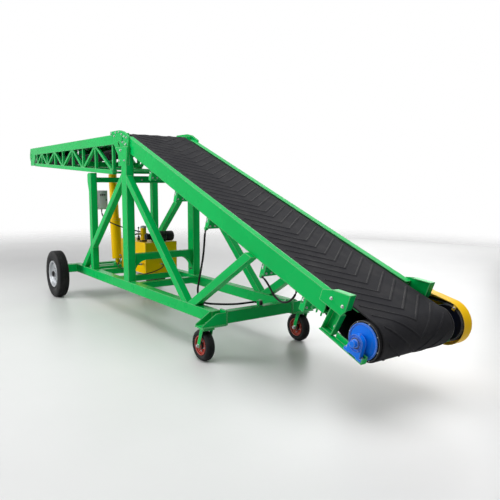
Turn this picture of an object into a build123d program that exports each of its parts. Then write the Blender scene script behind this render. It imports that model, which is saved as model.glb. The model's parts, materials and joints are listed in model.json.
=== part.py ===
from build123d import *
import os
from math import asin, atan2, cos, hypot, pi, radians, sin, tan

# Mobile truck loading conveyor with a lifting boom.
# Millimetres. +X points to the loading end, +Y to the drive side, +Z up from the floor.
# Side views are (x, z) outlines. On the slope they are (along it, square above it) from the hinge axis.

# Fits and gaps
running_gap = 0.05
seat_gap = 0.3
swing_gap = 6

# Chassis of two box rails joined by cross members
rail_outer_y = 525
rail_width = 100
rail_height = 120
rail_top_z = 482
rail_rear_x = -1768
rail_front_x = 2278
cross_width = 80
cross_height = 80
cross_x = (-1645, -930, -190, 376)
front_beam_depth = 90
front_flange = 12
front_flange_depth = 110
front_flange_height = 150
rail_clip_x = 1926
rail_clip_length = 30
rail_clip_width = 18
rail_clip_height = 16
clip_size = 26

# Road wheels on box stub axles
road_axle_x = -1713
road_tyre_r = 351.5
road_tyre_width = 165
road_wheel_y = 811
road_shoulder = 30
road_bead = 14
road_rim_r = 199
road_rim_flange = 12
road_rim_lip = 16
road_dish_drop = 30
road_hub_r = 58
road_hub_length = 110
road_hand_holes = 8
road_hand_hole_r = 17
road_hand_hole_at = 118
spindle_r = 25
spindle_nut_r = 38
axle_beam = 100
axle_beam_length = 165
axle_plate = 14
axle_plate_drop = 62

# Castors with trailing wheels
castor_set = 45
castor_trail = 65
castor_y = 614
castor_tyre_r = 157
castor_tyre_width = 96
castor_shoulder = 21
castor_bead = 9
castor_rim_r = 98
castor_hub_r = 34
castor_rim_holes = 5
castor_rim_hole_r = 9
castor_rim_hole_at = 58
castor_axle_r = 10
castor_stem_r = 15
castor_race_r = 42
castor_race_height = 14
fork_plate = 8
fork_top = 12
fork_width = 90
fork_strip = 46
fork_gap = 6
bracket_base = 12
bracket_overlap = 30
bracket_length = 150
bracket_reach = 180
gusset_thickness = 10
gusset_inset = 10
gusset_crown = 20
gusset_tip = 18

# Main posts, boom rest posts and braces
post_rear_x = 136
post_width = 150
post_top_z = 1955
post_flange = 12
head_overhang = 90
head_flare = 100
head_neck = 131
head_height = 225
portal_beam_z = 745
upper_beam_z = 1733
portal_beam_height = 86
portal_beam_depth = 80
arch_width = 180
arch_height = 190
rest_post_x = -1043
rest_post_width = 90
rest_beam_z = 1736
rest_beam_height = 72
rest_beam_depth = 70
rest_ear = 45
rest_ear_height = 130
rest_ear_plate = 30
brace_width = 80
brace_depth = 80
rear_brace_top_z = 1800
rear_brace_foot_x = -1384
front_brace_top_z = 1775
vee_x = 1778
vee_gap = 2
strut_top_along = 3010

# Slope of channel rails from the hinge axis down to the tail
hinge_x = 103
hinge_z = 2276
slope = radians(21)
side_outer_y = 477
channel_height = 180
channel_flange = 65
channel_wall = 8
channel_top = 82
channel_from = 130
channel_end = 399
deck_thickness = 8
deck_clear = 75
tie_count = 5
tie_size = 40

# Belt with chevron ridges
belt_half = 400
belt_thickness = 12
ridge_height = 6
ridge_width = 12
ridge_half = 340
ridge_pitch = 132
ridge_rake = radians(37.5)
ridge_bars = 6
ridge_sink = 3
ridge_start = 1.5

# Rollers
roller_half = 405
crest_r = 60
crest_wrap = radians(4)
hinge_shaft_r = 25
hinge_cap_r = 34
hinge_cap = 10
hinge_boss_r = 60
bend_r = 45
bend_shaft_r = 15
return_above = -92
return_roller_r = 30
return_shaft_r = 10
return_from_hinge = (847, 1497, 2196)
return_before_tail = (1218, 650)
hanger_plate = 8
hanger_y = 465
hanger_drop = 120
hanger_back = 16
hanger_slot = 50
shield_gap = 6
shield_plate = 6
shield_inset = 14

# Knuckle plates on the outer faces of the channels
knuckle_plate = 24
knuckle_front = 34
knuckle_rear = 242
knuckle_tab = 116
knuckle_tab_height = 42
knuckle_rise = 38
knuckle_crest = 60
knuckle_round = 14
latch_at = (102, -54)
latch_length = 130
latch_width = 40
latch_plate = 6
latch_turn = 20
window_at = (-85, -58)
window_length = 84
window_width = 34
window_turn = 52

# Tail drum, take-up and drive
tail_along = 4398
tail_drum_r = 151
tail_drum_half = 436
tail_shaft_r = 30
tail_stub_r = 25
tail_stub_length = 36
tail_plate = 14
tail_plate_lap = 70
tail_plate_length = 207
tail_lip = 60
tail_lip_plate = 8
tail_lip_rise = 50
pocket_wall = 8
pocket_length = 118
pocket_lean = 30
pocket_inner_y = 431
takeup_overhang = 35
takeup_bar_width = 50
takeup_bar_height = 56
takeup_bar_wall = 8
takeup_bar_top = -200
takeup_before = 368
takeup_beyond = 102
takeup_tab = 36
bearing_r = 62
bearing_width = 40
bearing_ring = 3
bearing_ring_r = 48
bearing_foot = 24
bearing_half = 90
bearing_neck = 70
end_disc_r = 136
end_disc_rim = 10
end_disc_dish = 20
end_disc_neck_r = 44
guard_inner_y = 519
guard_outer_y = 620
guard_r = 186
guard_wall = 4
drive_slope = radians(12)
drive_centres = 960
drive_pulley_r = 150
motor_pulley_r = 62
pulley_width = 70
motor_r = 92
motor_length = 330
motor_shaft_r = 19
motor_foot = 120
belt_run = 9
stay_r = 12
rail_stay = (748, -65)
tail_stay = (298, 30)

# Boom trusses
boom_outer_y = side_outer_y - swing_gap
chord_width = 60
chord_height = 125
chord_end_x = -3950
lower_chord_x = -284
lower_chord_z = 1845
lower_chord_tip_x = -3844
lower_chord_tip_z = 2022
lower_chord_height = 57
lattice_x = (-297, -932, -1446, -1908, -2391, -2811, -3238, -3552, -3857)
lattice_bar = 34
lattice_depth = 40
boom_tie_size = 40
head_x = -4212
head_drum_r = 123
head_shaft_r = 25
head_plate = 20
head_plate_front = 38
head_plate_drop = 173
head_plate_round = 30
head_plate_cut_r = 70
nose_r = 150
nose_wall = 4

# Lift cylinder from the chassis to the boom
lift_base_x = -1320
lift_base_z = 470
lift_lattice = 2
lift_eye_z = 1904
lift_pin_r = 20
lift_eye_r = 44
lift_base_eye_r = 38
lift_eye_width = 70
lift_neck_r = 32
lift_barrel_from = 97
lift_barrel_to = 720
lift_barrel_r = 80
lift_barrel_wall = 10
lift_gland_length = 40
lift_gland_r = 86
lift_rod_r = 62
lift_rod_from = 150
lift_ear_gap = 1
lift_ear = 16
lift_ear_half = 40
lift_pin_play = 10
lift_washer = 8
lift_beam_width = 100
lift_beam_height = 80
lift_beam_z = 1965
lift_port_at = 150

# Hydraulic unit and controls
tank_rear_x = -970
tank_front_x = -146
tank_left_y = -83
tank_right_y = 400
tank_height = 432
pump_motor_r = 62
pump_motor_length = 230
pump_r = 42
pump_length = 100
pump_set = 75
pump_start = 43
pump_foot = 15
terminal_box = 60
terminal_reach = 92
filter_r = 40
filter_height = 212
filter_x = -368
filter_y = -4
valve_x = -400
valve_y = 250
valve_width = 100
valve_height = 80
port_r = 15
port_length = 30
filter_port_z = 110
return_port = (-203, 620)
front_port = (140, 614)
gland_r = 10
gland_length = 18
socket_size = 44
socket_height = 62
control_box_width = 90
control_box_depth = 150
control_box_height = 270
control_box_z = 1350

# Cords
cable_d = 12
trailer_cable_d = 14
lift_hose_d = 14
return_hose_d = 18
cord_bend = 0.45

rail_inner_y = rail_outer_y - rail_width
rail_bottom_z = rail_top_z - rail_height
bracket_base_z = rail_bottom_z - bracket_base
castor_swivel_x = rail_front_x + castor_set
post_front_x = post_rear_x + post_width
rest_post_front_x = rest_post_x + rest_post_width
channel_bottom = channel_top - channel_height
channel_inner_y = side_outer_y - channel_wall
channel_to = tail_along - channel_end
knuckle_outer_y = side_outer_y + knuckle_plate
tail_above = crest_r - tail_drum_r
return_along = return_from_hinge + tuple(tail_along - before for before in return_before_tail)
snub_along = return_along[-1]
takeup_from = tail_along - takeup_before
takeup_to = tail_along + takeup_beyond
boom_inner_y = boom_outer_y - chord_width
chord_top_z = hinge_z + channel_top
head_z = hinge_z + crest_r - head_drum_r
lift_eye_x = lattice_x[lift_lattice]
castor_axle_x = castor_swivel_x - castor_trail
fork_top_z = bracket_base_z - castor_race_height
lift_run_x = lift_eye_x - lift_base_x
lift_run_z = lift_eye_z - lift_base_z
lift_length = hypot(lift_run_x, lift_run_z)

down_slope = (cos(slope), 0, -sin(slope))
slope_side = Plane(origin=(hinge_x, 0, hinge_z), x_dir=down_slope, z_dir=(0, -1, 0))
slope_top = Plane(origin=(hinge_x, 0, hinge_z), x_dir=down_slope, z_dir=(sin(slope), 0, cos(slope)))
lift_frame = Plane(origin=(lift_base_x, 0, lift_base_z), x_dir=(0, 1, 0), z_dir=(lift_run_x, 0, lift_run_z))

os.makedirs("parts", exist_ok=True)


def save(piece, name):
    """Labels a finished piece and writes it as its own file."""
    piece.part.label = name
    export_step(piece.part, f"parts/{name}.step")


def side_plate(points, y_from, y_to, side=Plane.XZ, mode=Mode.ADD):
    """Adds a plate with a side-view outline, from y_from to y_to."""
    with BuildSketch(side.offset(-y_from)) as outline:
        with BuildLine():
            Polyline(*points, close=True)
        make_face()
    extrude(outline.sketch, amount=y_from - y_to, mode=mode)


def side_box(x_from, x_to, z_from, z_to, y_from, y_to, side=Plane.XZ, mode=Mode.ADD):
    """Adds a box by its limits in side view and across."""
    points = [(x_from, z_from), (x_to, z_from), (x_to, z_to), (x_from, z_to)]
    side_plate(points, y_from, y_to, side, mode)


def cross_rod(centre, radius, y_from, y_to, side=Plane.XZ, mode=Mode.ADD):
    """Adds a round bar across the machine."""
    with BuildSketch(side.offset(-y_from)) as section:
        with Locations(centre):
            Circle(radius)
    extrude(section.sketch, amount=y_from - y_to, mode=mode)


def ring_points(count, radius, centre):
    """Side-view points of a ring of holes."""
    return [
        (centre[0] + radius * cos(2 * pi * hole / count), centre[1] + radius * sin(2 * pi * hole / count))
        for hole in range(count)
    ]


def on_slope(along, above):
    """Side-view (x, z) of a point given along the slope and square above it."""
    x = hinge_x + along * cos(slope) + above * sin(slope)
    z = hinge_z - along * sin(slope) + above * cos(slope)
    return x, z


def slanted_bar(start, end, width):
    """Corners of a straight bar in side view with square ends."""
    length = hypot(end[0] - start[0], end[1] - start[1])
    out_x = -(end[1] - start[1]) / length * width / 2
    out_z = (end[0] - start[0]) / length * width / 2
    return [
        (start[0] + out_x, start[1] + out_z),
        (start[0] - out_x, start[1] - out_z),
        (end[0] - out_x, end[1] - out_z),
        (end[0] + out_x, end[1] + out_z),
    ]


def tyre_face(half, inner, outer, bead, shoulder):
    """Section of a tyre as a face in the current sketch: beads, flat sidewalls and chamfered shoulders."""
    right = [
        (half - bead, inner),
        (half, inner + bead),
        (half, outer - shoulder),
        (half - shoulder / 3, outer - shoulder / 3),
        (half - shoulder, outer),
    ]
    left = [(-across, radius) for across, radius in reversed(right)]
    with BuildLine() as outline:
        Polyline(*right, *left, close=True)
    make_face(outline.edges())


def cord(points, diameter, name):
    """A hose or cable of straight runs joined by tangent arcs."""
    radii = []
    for before, corner, after in zip(points, points[1:], points[2:]):
        run_in = Vector(corner) - Vector(before)
        run_out = Vector(after) - Vector(corner)
        turn = radians(run_in.get_angle(run_out))
        radii.append(cord_bend * min(run_in.length, run_out.length) / tan(turn / 2))
    with BuildPart() as piece:
        with BuildLine():
            path = FilletPolyline(*points, radius=radii)
        with BuildSketch(Plane(origin=points[0], z_dir=Vector(points[1]) - Vector(points[0]))):
            Circle(diameter / 2)
        sweep(path=path)
    print(name, "length", round(path.length), "radii", [round(radius) for radius in radii])
    save(piece, name)


# Chassis

with BuildPart() as chassis_rails:
    side_box(rail_rear_x, rail_front_x, rail_bottom_z, rail_top_z, rail_inner_y, rail_outer_y)
    mirror(about=Plane.XZ)
    side_box(
        rail_clip_x, rail_clip_x + rail_clip_length, rail_top_z, rail_top_z + rail_clip_height,
        -rail_inner_y, -rail_inner_y - rail_clip_width,
    )
save(chassis_rails, "chassis_rails")

lift_member_x = (lift_base_x - cross_width, lift_base_x + cross_width)
with BuildPart() as chassis_cross_members:
    for x in cross_x + lift_member_x:
        side_box(
            x - cross_width / 2, x + cross_width / 2, rail_top_z - cross_height, rail_top_z,
            -rail_inner_y, rail_inner_y,
        )
save(chassis_cross_members, "chassis_cross_members")

beam_end_y = rail_inner_y - front_flange
bracket_y = rail_inner_y + front_flange
flange_front_x = rail_front_x + front_flange_depth
flange_top_z = bracket_base_z + front_flange_height
beam_x = rail_front_x + (front_flange_depth - front_beam_depth) / 2
beam_z = bracket_base_z + (front_flange_height - rail_height) / 2
with BuildPart() as front_beam:
    side_box(beam_x, beam_x + front_beam_depth, beam_z, beam_z + rail_height, -beam_end_y, beam_end_y)
    for side_y in (-1, 1):
        side_box(
            rail_front_x, flange_front_x, bracket_base_z, flange_top_z,
            side_y * beam_end_y, side_y * rail_inner_y,
        )
    side_box(
        beam_x + front_beam_depth - socket_size, beam_x + front_beam_depth,
        beam_z + rail_height, beam_z + rail_height + socket_height, -socket_size / 2, socket_size / 2,
    )
save(front_beam, "front_beam")

base_from_x = rail_front_x - bracket_overlap
base_to_x = base_from_x + bracket_length
reach_y = rail_outer_y + bracket_reach
gussets = (
    (base_from_x + gusset_inset, rail_outer_y),
    (base_to_x - gusset_inset - gusset_thickness, bracket_y),
)
with BuildPart() as castor_brackets:
    side_box(rail_front_x, flange_front_x, bracket_base_z, flange_top_z, rail_inner_y, bracket_y)
    side_box(base_from_x, base_to_x, bracket_base_z, rail_bottom_z, bracket_y, reach_y)
    for gusset_x, root_y in gussets:
        with BuildSketch(Plane.YZ.offset(gusset_x)):
            with BuildLine():
                Polyline(
                    (root_y, rail_bottom_z),
                    (reach_y, rail_bottom_z),
                    (reach_y, rail_bottom_z + gusset_tip),
                    (rail_outer_y + gusset_crown, rail_top_z),
                    (root_y, rail_top_z),
                    close=True,
                )
            make_face()
        extrude(amount=gusset_thickness)
    with Locations((castor_swivel_x, castor_y, bracket_base_z)):
        Cylinder(castor_stem_r + running_gap, 4 * bracket_base, mode=Mode.SUBTRACT)
    mirror(about=Plane.XZ)
save(castor_brackets, "castor_brackets")

hub_from_y = road_wheel_y - road_hub_length / 2
hub_to_y = road_wheel_y + road_hub_length / 2
stub_y = rail_outer_y + axle_beam_length
spindle_y = stub_y + axle_plate
road_axle_at = (road_axle_x, road_tyre_r)
with BuildPart() as rear_axle:
    side_box(
        road_axle_x - axle_beam / 2, road_axle_x + axle_beam / 2, rail_bottom_z, rail_top_z,
        rail_outer_y, stub_y,
    )
    side_box(
        road_axle_x - axle_beam / 2, road_axle_x + axle_beam / 2,
        rail_bottom_z - axle_plate_drop, rail_top_z, stub_y, spindle_y,
    )
    cross_rod(road_axle_at, spindle_r, spindle_y, hub_to_y + axle_plate)
    cross_rod(road_axle_at, spindle_nut_r, spindle_y, hub_from_y - seat_gap)
    cross_rod(road_axle_at, spindle_nut_r, hub_to_y + seat_gap, hub_to_y + axle_plate)
    mirror(about=Plane.XZ)
save(rear_axle, "rear_axle")

# Posts, portals and braces

saddle_points = [
    (post_rear_x, post_top_z),
    (post_front_x, post_top_z),
    (post_front_x, hinge_z + (channel_bottom - (post_front_x - hinge_x) * sin(slope)) / cos(slope)),
    (post_rear_x, hinge_z + (channel_bottom - (post_rear_x - hinge_x) * sin(slope)) / cos(slope)),
]
head_rear_x = post_rear_x - head_overhang
head_points = [
    (head_rear_x, post_top_z),
    (post_front_x, post_top_z),
    (post_front_x + knuckle_front, post_top_z + head_height),
    (head_rear_x - head_flare, post_top_z + head_height),
    (head_rear_x, post_top_z + head_neck),
]
with BuildPart() as main_posts:
    side_box(
        post_rear_x, post_front_x, rail_top_z, post_top_z - post_flange, rail_inner_y, rail_outer_y
    )
    side_box(head_rear_x, post_front_x, post_top_z - post_flange, post_top_z, rail_inner_y, rail_outer_y)
    side_plate(saddle_points, rail_inner_y, side_outer_y)
    side_plate(head_points, knuckle_outer_y, rail_outer_y)
    mirror(about=Plane.XZ)
save(main_posts, "main_posts")

portal_x = (post_rear_x + post_front_x - portal_beam_depth) / 2
with BuildPart() as main_portal_beam:
    for beam_bottom_z in (portal_beam_z, upper_beam_z):
        side_box(
            portal_x, portal_x + portal_beam_depth, beam_bottom_z, beam_bottom_z + portal_beam_height,
            -rail_inner_y, rail_inner_y,
        )
    with BuildSketch(Plane.YZ.offset(portal_x)):
        with BuildLine():
            Line((rail_inner_y - arch_width, portal_beam_z), (rail_inner_y, portal_beam_z))
            Line((rail_inner_y, portal_beam_z), (rail_inner_y, portal_beam_z - arch_height))
            EllipticalCenterArc(
                (rail_inner_y - arch_width, portal_beam_z - arch_height), arch_width, arch_height,
                start_angle=0, arc_size=90,
            )
        make_face()
        mirror(about=Plane.YZ)
    extrude(amount=portal_beam_depth)
save(main_portal_beam, "main_portal_beam")

rest_top_z = lower_chord_z + (
    (lower_chord_x - rest_post_front_x) * (lower_chord_tip_z - lower_chord_z)
    / (lower_chord_x - lower_chord_tip_x)
) - swing_gap
rest_outer_y = rail_outer_y
rest_inner_y = rail_outer_y - rest_post_width
with BuildPart() as rear_posts:
    side_box(rest_post_x, rest_post_front_x, rail_top_z, rest_top_z, rest_inner_y, rest_outer_y)
    side_plate(
        [
            (rest_post_x, rest_top_z - 2 * rest_ear_height),
            (rest_post_x, rest_top_z),
            (rest_post_x - rest_ear, rest_top_z - rest_ear / 2),
            (rest_post_x - rest_ear, rest_top_z - rest_ear_height),
        ],
        rest_outer_y - rest_ear_plate, rest_outer_y,
    )
    mirror(about=Plane.XZ)
save(rear_posts, "rear_posts")

rest_beam_x = rest_post_x + (rest_post_width - rest_beam_depth) / 2
with BuildPart() as rear_portal_beam:
    side_box(
        rest_beam_x, rest_beam_x + rest_beam_depth, rest_beam_z, rest_beam_z + rest_beam_height,
        -rest_inner_y, rest_inner_y,
    )
save(rear_portal_beam, "rear_portal_beam")

brace_inner_y = rail_outer_y - brace_depth
rear_rake = atan2(rear_brace_top_z - rail_top_z, post_rear_x - rear_brace_foot_x)
rear_upright = brace_width / 2 / cos(rear_rake)
rear_foot = brace_width / 2 / sin(rear_rake)


def rear_brace_z(x):
    """Height of the rear brace's middle line."""
    return rail_top_z + (x - rear_brace_foot_x) * tan(rear_rake)


with BuildPart() as rear_braces:
    side_plate(
        [
            (post_rear_x, rear_brace_z(post_rear_x) + rear_upright),
            (post_rear_x, rear_brace_z(post_rear_x) - rear_upright),
            (rest_post_front_x, rear_brace_z(rest_post_front_x) - rear_upright),
            (rest_post_front_x, rear_brace_z(rest_post_front_x) + rear_upright),
        ],
        brace_inner_y, rail_outer_y,
    )
    side_plate(
        [
            (rest_post_x, rear_brace_z(rest_post_x) + rear_upright),
            (rest_post_x, rear_brace_z(rest_post_x) - rear_upright),
            (rear_brace_foot_x + rear_foot, rail_top_z),
            (rear_brace_foot_x - rear_foot, rail_top_z),
        ],
        brace_inner_y, rail_outer_y,
    )
    mirror(about=Plane.XZ)
save(rear_braces, "rear_braces")

front_rake = atan2(front_brace_top_z - rail_top_z, vee_x - post_front_x)
front_upright = brace_width / 2 / cos(front_rake)
front_foot = brace_width / sin(front_rake)
with BuildPart() as front_braces:
    side_plate(
        [
            (post_front_x, front_brace_top_z + front_upright),
            (post_front_x, front_brace_top_z - front_upright),
            (vee_x - vee_gap / 2 - front_foot, rail_top_z),
            (vee_x - vee_gap / 2, rail_top_z),
        ],
        brace_inner_y, rail_outer_y,
    )
    mirror(about=Plane.XZ)
save(front_braces, "front_braces")

strut_top_x, strut_top_z = on_slope(strut_top_along, channel_bottom)
strut_rake = atan2(strut_top_z - rail_top_z, strut_top_x - vee_x)
strut_foot = brace_width / sin(strut_rake)
strut_top = brace_width / sin(strut_rake + slope)
with BuildPart() as incline_struts:
    side_plate(
        [
            on_slope(strut_top_along - strut_top / 2, channel_bottom),
            on_slope(strut_top_along + strut_top / 2, channel_bottom),
            (vee_x + vee_gap / 2 + strut_foot, rail_top_z),
            (vee_x + vee_gap / 2, rail_top_z),
        ],
        brace_inner_y, rail_outer_y,
    )
    mirror(about=Plane.XZ)
save(incline_struts, "incline_struts")

bend_z = hinge_z + (return_above - ridge_height - bend_r) / cos(slope)
knuckle_top_z = chord_top_z + knuckle_rise
knuckle_rear_x = hinge_x - knuckle_rear
knuckle_points = [
    (head_rear_x, post_top_z),
    (post_front_x, post_top_z),
    (post_front_x, post_top_z + head_neck),
    (post_front_x + knuckle_front, hinge_z + hinge_shaft_r),
    (hinge_x + knuckle_crest, knuckle_top_z - knuckle_crest * tan(slope)),
    (hinge_x - knuckle_crest, knuckle_top_z),
    (knuckle_rear_x - knuckle_tab, knuckle_top_z),
    (knuckle_rear_x - knuckle_tab, knuckle_top_z - knuckle_tab_height),
    (knuckle_rear_x, knuckle_top_z - knuckle_tab_height),
    (knuckle_rear_x, hinge_z - hinge_boss_r),
    (head_rear_x, post_top_z + head_neck),
]
with BuildPart() as knuckle_plates:
    with BuildSketch(Plane.XZ.offset(-side_outer_y)):
        with BuildLine():
            FilletPolyline(*knuckle_points, radius=knuckle_round, close=True)
        make_face()
        with Locations((hinge_x + window_at[0], hinge_z + window_at[1])):
            SlotOverall(window_length, window_width, rotation=-window_turn, mode=Mode.SUBTRACT)
    extrude(amount=-knuckle_plate)
    with BuildSketch(Plane.XZ.offset(-knuckle_outer_y)):
        with Locations((hinge_x + latch_at[0], hinge_z + latch_at[1])):
            SlotOverall(latch_length, latch_width, rotation=-latch_turn)
    extrude(amount=-latch_plate)
    for shaft_z, shaft_r in ((hinge_z, hinge_shaft_r), (bend_z, bend_shaft_r)):
        cross_rod(
            (hinge_x, shaft_z), shaft_r + running_gap, side_outer_y, knuckle_outer_y + latch_plate,
            mode=Mode.SUBTRACT,
        )
    mirror(about=Plane.XZ)
save(knuckle_plates, "knuckle_plates")

cap_y = knuckle_outer_y + seat_gap
with BuildPart() as hinge_shaft:
    cross_rod((hinge_x, hinge_z), hinge_shaft_r, -cap_y - hinge_cap, cap_y + hinge_cap)
    for side_y in (-1, 1):
        cross_rod((hinge_x, hinge_z), hinge_cap_r, side_y * cap_y, side_y * (cap_y + hinge_cap))
save(hinge_shaft, "hinge_shaft")

with BuildPart() as crest_roller:
    cross_rod((hinge_x, hinge_z), crest_r, -roller_half, roller_half)
    cross_rod(
        (hinge_x, hinge_z), hinge_shaft_r + running_gap, -roller_half, roller_half, mode=Mode.SUBTRACT
    )
save(crest_roller, "crest_roller")

with BuildPart() as bend_roller:
    cross_rod((hinge_x, bend_z), bend_r, -roller_half, roller_half)
    cross_rod(
        (hinge_x, bend_z), bend_shaft_r, -knuckle_outer_y, knuckle_outer_y
    )
save(bend_roller, "bend_roller")

# Incline

gland_along = snub_along - hanger_drop
gland_y = side_outer_y - channel_flange / 2
with BuildPart() as incline_rails:
    side_box(
        channel_from, channel_to, channel_bottom, channel_top,
        side_outer_y - channel_flange, side_outer_y, slope_side,
    )
    side_box(
        channel_from, channel_to, channel_bottom + channel_wall, channel_top - channel_wall,
        side_outer_y - channel_flange, channel_inner_y, slope_side, Mode.SUBTRACT,
    )
    mirror(about=Plane.XZ)
    with BuildSketch(slope_top.offset(channel_bottom)):
        with Locations((gland_along, -gland_y)):
            Circle(gland_r)
    extrude(amount=-gland_length)
save(incline_rails, "incline_rails")

deck_top = crest_r - seat_gap
with BuildPart() as incline_deck:
    side_box(
        deck_clear, tail_along - tail_drum_r, deck_top - deck_thickness, deck_top,
        -belt_half, belt_half, slope_side,
    )
    side_box(
        channel_from, channel_to, deck_top - deck_thickness, deck_top,
        -channel_inner_y, channel_inner_y, slope_side,
    )
save(incline_deck, "incline_deck")

tie_top = deck_top - deck_thickness
with BuildPart() as incline_cross_ties:
    for tie in range(tie_count):
        along = channel_from + (tie + 0.5) * (channel_to - channel_from) / tie_count
        side_box(
            along - tie_size / 2, along + tie_size / 2, tie_top - tie_size, tie_top,
            -channel_inner_y, channel_inner_y, slope_side,
        )
save(incline_cross_ties, "incline_cross_ties")

roller_above = return_above - ridge_height - return_roller_r
hanger_bottom = channel_bottom - hanger_drop
shield_at = return_roller_r + shield_gap
shield_front = shield_at + shield_plate
slot_half = return_shaft_r + running_gap
with BuildPart() as return_roller_brackets:
    for along in return_along:
        side_box(
            along - hanger_back, along + shield_front, hanger_bottom, channel_bottom,
            hanger_y, hanger_y + hanger_plate, slope_side,
        )
        with BuildSketch(slope_side.offset(-hanger_y)):
            with Locations((along, roller_above)):
                SlotOverall(hanger_slot, 2 * slot_half, rotation=90)
        extrude(amount=-hanger_plate, mode=Mode.SUBTRACT)
    mirror(about=Plane.XZ)
    for along in return_along:
        side_box(
            along + shield_at, along + shield_front,
            hanger_bottom + shield_inset, channel_bottom - shield_inset, -hanger_y, hanger_y, slope_side,
        )
    for along in return_along[2:4]:
        side_box(
            along + shield_front - clip_size, along + shield_front,
            hanger_bottom, hanger_bottom + clip_size,
            -hanger_y - hanger_plate, -hanger_y - hanger_plate - clip_size, slope_side,
        )
save(return_roller_brackets, "return_roller_brackets")

with BuildPart() as return_rollers:
    for along in return_along:
        cross_rod((along, roller_above), return_roller_r, -roller_half, roller_half, slope_side)
        cross_rod(
            (along, roller_above), return_shaft_r,
            -hanger_y - hanger_plate, hanger_y + hanger_plate, slope_side,
        )
save(return_rollers, "return_rollers")

# Belt on the incline: carrying strand, wrap round the tail drum, rise to the snub roller, return strand.
tail_outer_r = tail_drum_r + belt_thickness
belt_above = crest_r + belt_thickness
snub_r = return_roller_r + ridge_height
rise_length = hypot(tail_along - snub_along, tail_above - roller_above)
rise_angle = asin((tail_outer_r + snub_r) / rise_length) - atan2(
    roller_above - tail_above, tail_along - snub_along
)
rise_out = (sin(rise_angle), cos(rise_angle))
bend_along = -(bend_z - hinge_z) * sin(slope)


def strand_points(offset):
    """Points on the belt's side view, offset inwards from its outer face."""
    radius = tail_outer_r - offset
    leave = (tail_along - radius * rise_out[0], tail_above - radius * rise_out[1])
    lift = snub_r + offset
    over = (snub_along + lift * rise_out[0], roller_above + lift * rise_out[1])
    level = return_above + offset
    return leave, over, level


def crest_point(radius, share):
    """Point of the belt over the crest roller, at a share of the wrap back from the incline."""
    return -radius * sin(crest_wrap * share), radius * cos(crest_wrap * share)


def belt_spot(distance, across):
    """Point on the belt's outer face and its normal, by the distance from the crest."""
    turn = max(0, distance - tail_along) / tail_outer_r
    along = min(distance, tail_along) + tail_outer_r * sin(turn)
    x, z = on_slope(along, tail_above + tail_outer_r * cos(turn))
    return Vector(x, across, z), Vector(sin(slope + turn), 0, cos(slope + turn))


outer_leave, outer_over, outer_level = strand_points(0)
inner_leave, inner_over, inner_level = strand_points(belt_thickness)
rake_length = ridge_half * tan(ridge_rake)
ridge_along = ridge_width / cos(ridge_rake)
ridge_count = int((tail_along - rake_length - ridge_along) // ridge_pitch)
drum_ridges = int((rake_length + tail_outer_r) // ridge_pitch)
with BuildPart() as incline_belt:
    with BuildSketch(slope_side.offset(belt_half)):
        with BuildLine():
            Line((0, belt_above), (tail_along, belt_above))
            ThreePointArc(
                (tail_along, belt_above), (tail_along + tail_outer_r, tail_above), outer_leave
            )
            Line(outer_leave, outer_over)
            Line(outer_over, (snub_along, outer_level))
            Line((snub_along, outer_level), (bend_along, outer_level))
            Line((bend_along, outer_level), (bend_along, inner_level))
            Line((bend_along, inner_level), (snub_along, inner_level))
            Line((snub_along, inner_level), inner_over)
            Line(inner_over, inner_leave)
            ThreePointArc(
                inner_leave, (tail_along + tail_drum_r, tail_above), (tail_along, crest_r)
            )
            Line((tail_along, crest_r), (0, crest_r))
            ThreePointArc((0, crest_r), crest_point(crest_r, 0.5), crest_point(crest_r, 1))
            Line(crest_point(crest_r, 1), crest_point(belt_above, 1))
            ThreePointArc(crest_point(belt_above, 1), crest_point(belt_above, 0.5), (0, belt_above))
        make_face()
    extrude(amount=-2 * belt_half)
    for ridge in range(ridge_count):
        along = ridge_along + ridge * ridge_pitch
        with BuildSketch(slope_top.offset(belt_above)):
            with BuildLine():
                Polyline(
                    (along, -ridge_half),
                    (along + rake_length, 0),
                    (along, ridge_half),
                    (along + ridge_along, ridge_half),
                    (along + rake_length + ridge_along, 0),
                    (along + ridge_along, -ridge_half),
                    close=True,
                )
            make_face()
        extrude(amount=ridge_height)
    # Past the drum's top each chevron arm follows the curve as a chain of short bars.
    for ridge in range(ridge_count, ridge_count + drum_ridges):
        along = ridge_along * ridge_start + ridge * ridge_pitch
        for side_y in (-1, 1):
            spots = []
            for step in range(ridge_bars + 1):
                share = step / ridge_bars
                spots.append(belt_spot(along + rake_length * share, side_y * ridge_half * (1 - share)))
            for (start, start_out), (end, end_out) in zip(spots, spots[1:]):
                bar = Plane((start + end) / 2, x_dir=end - start, z_dir=start_out + end_out)
                with Locations(bar.offset((ridge_height - ridge_sink) / 2)):
                    Box((end - start).length + ridge_width / 2, ridge_width, ridge_height + ridge_sink)
save(incline_belt, "incline_belt")

# Tail

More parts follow.
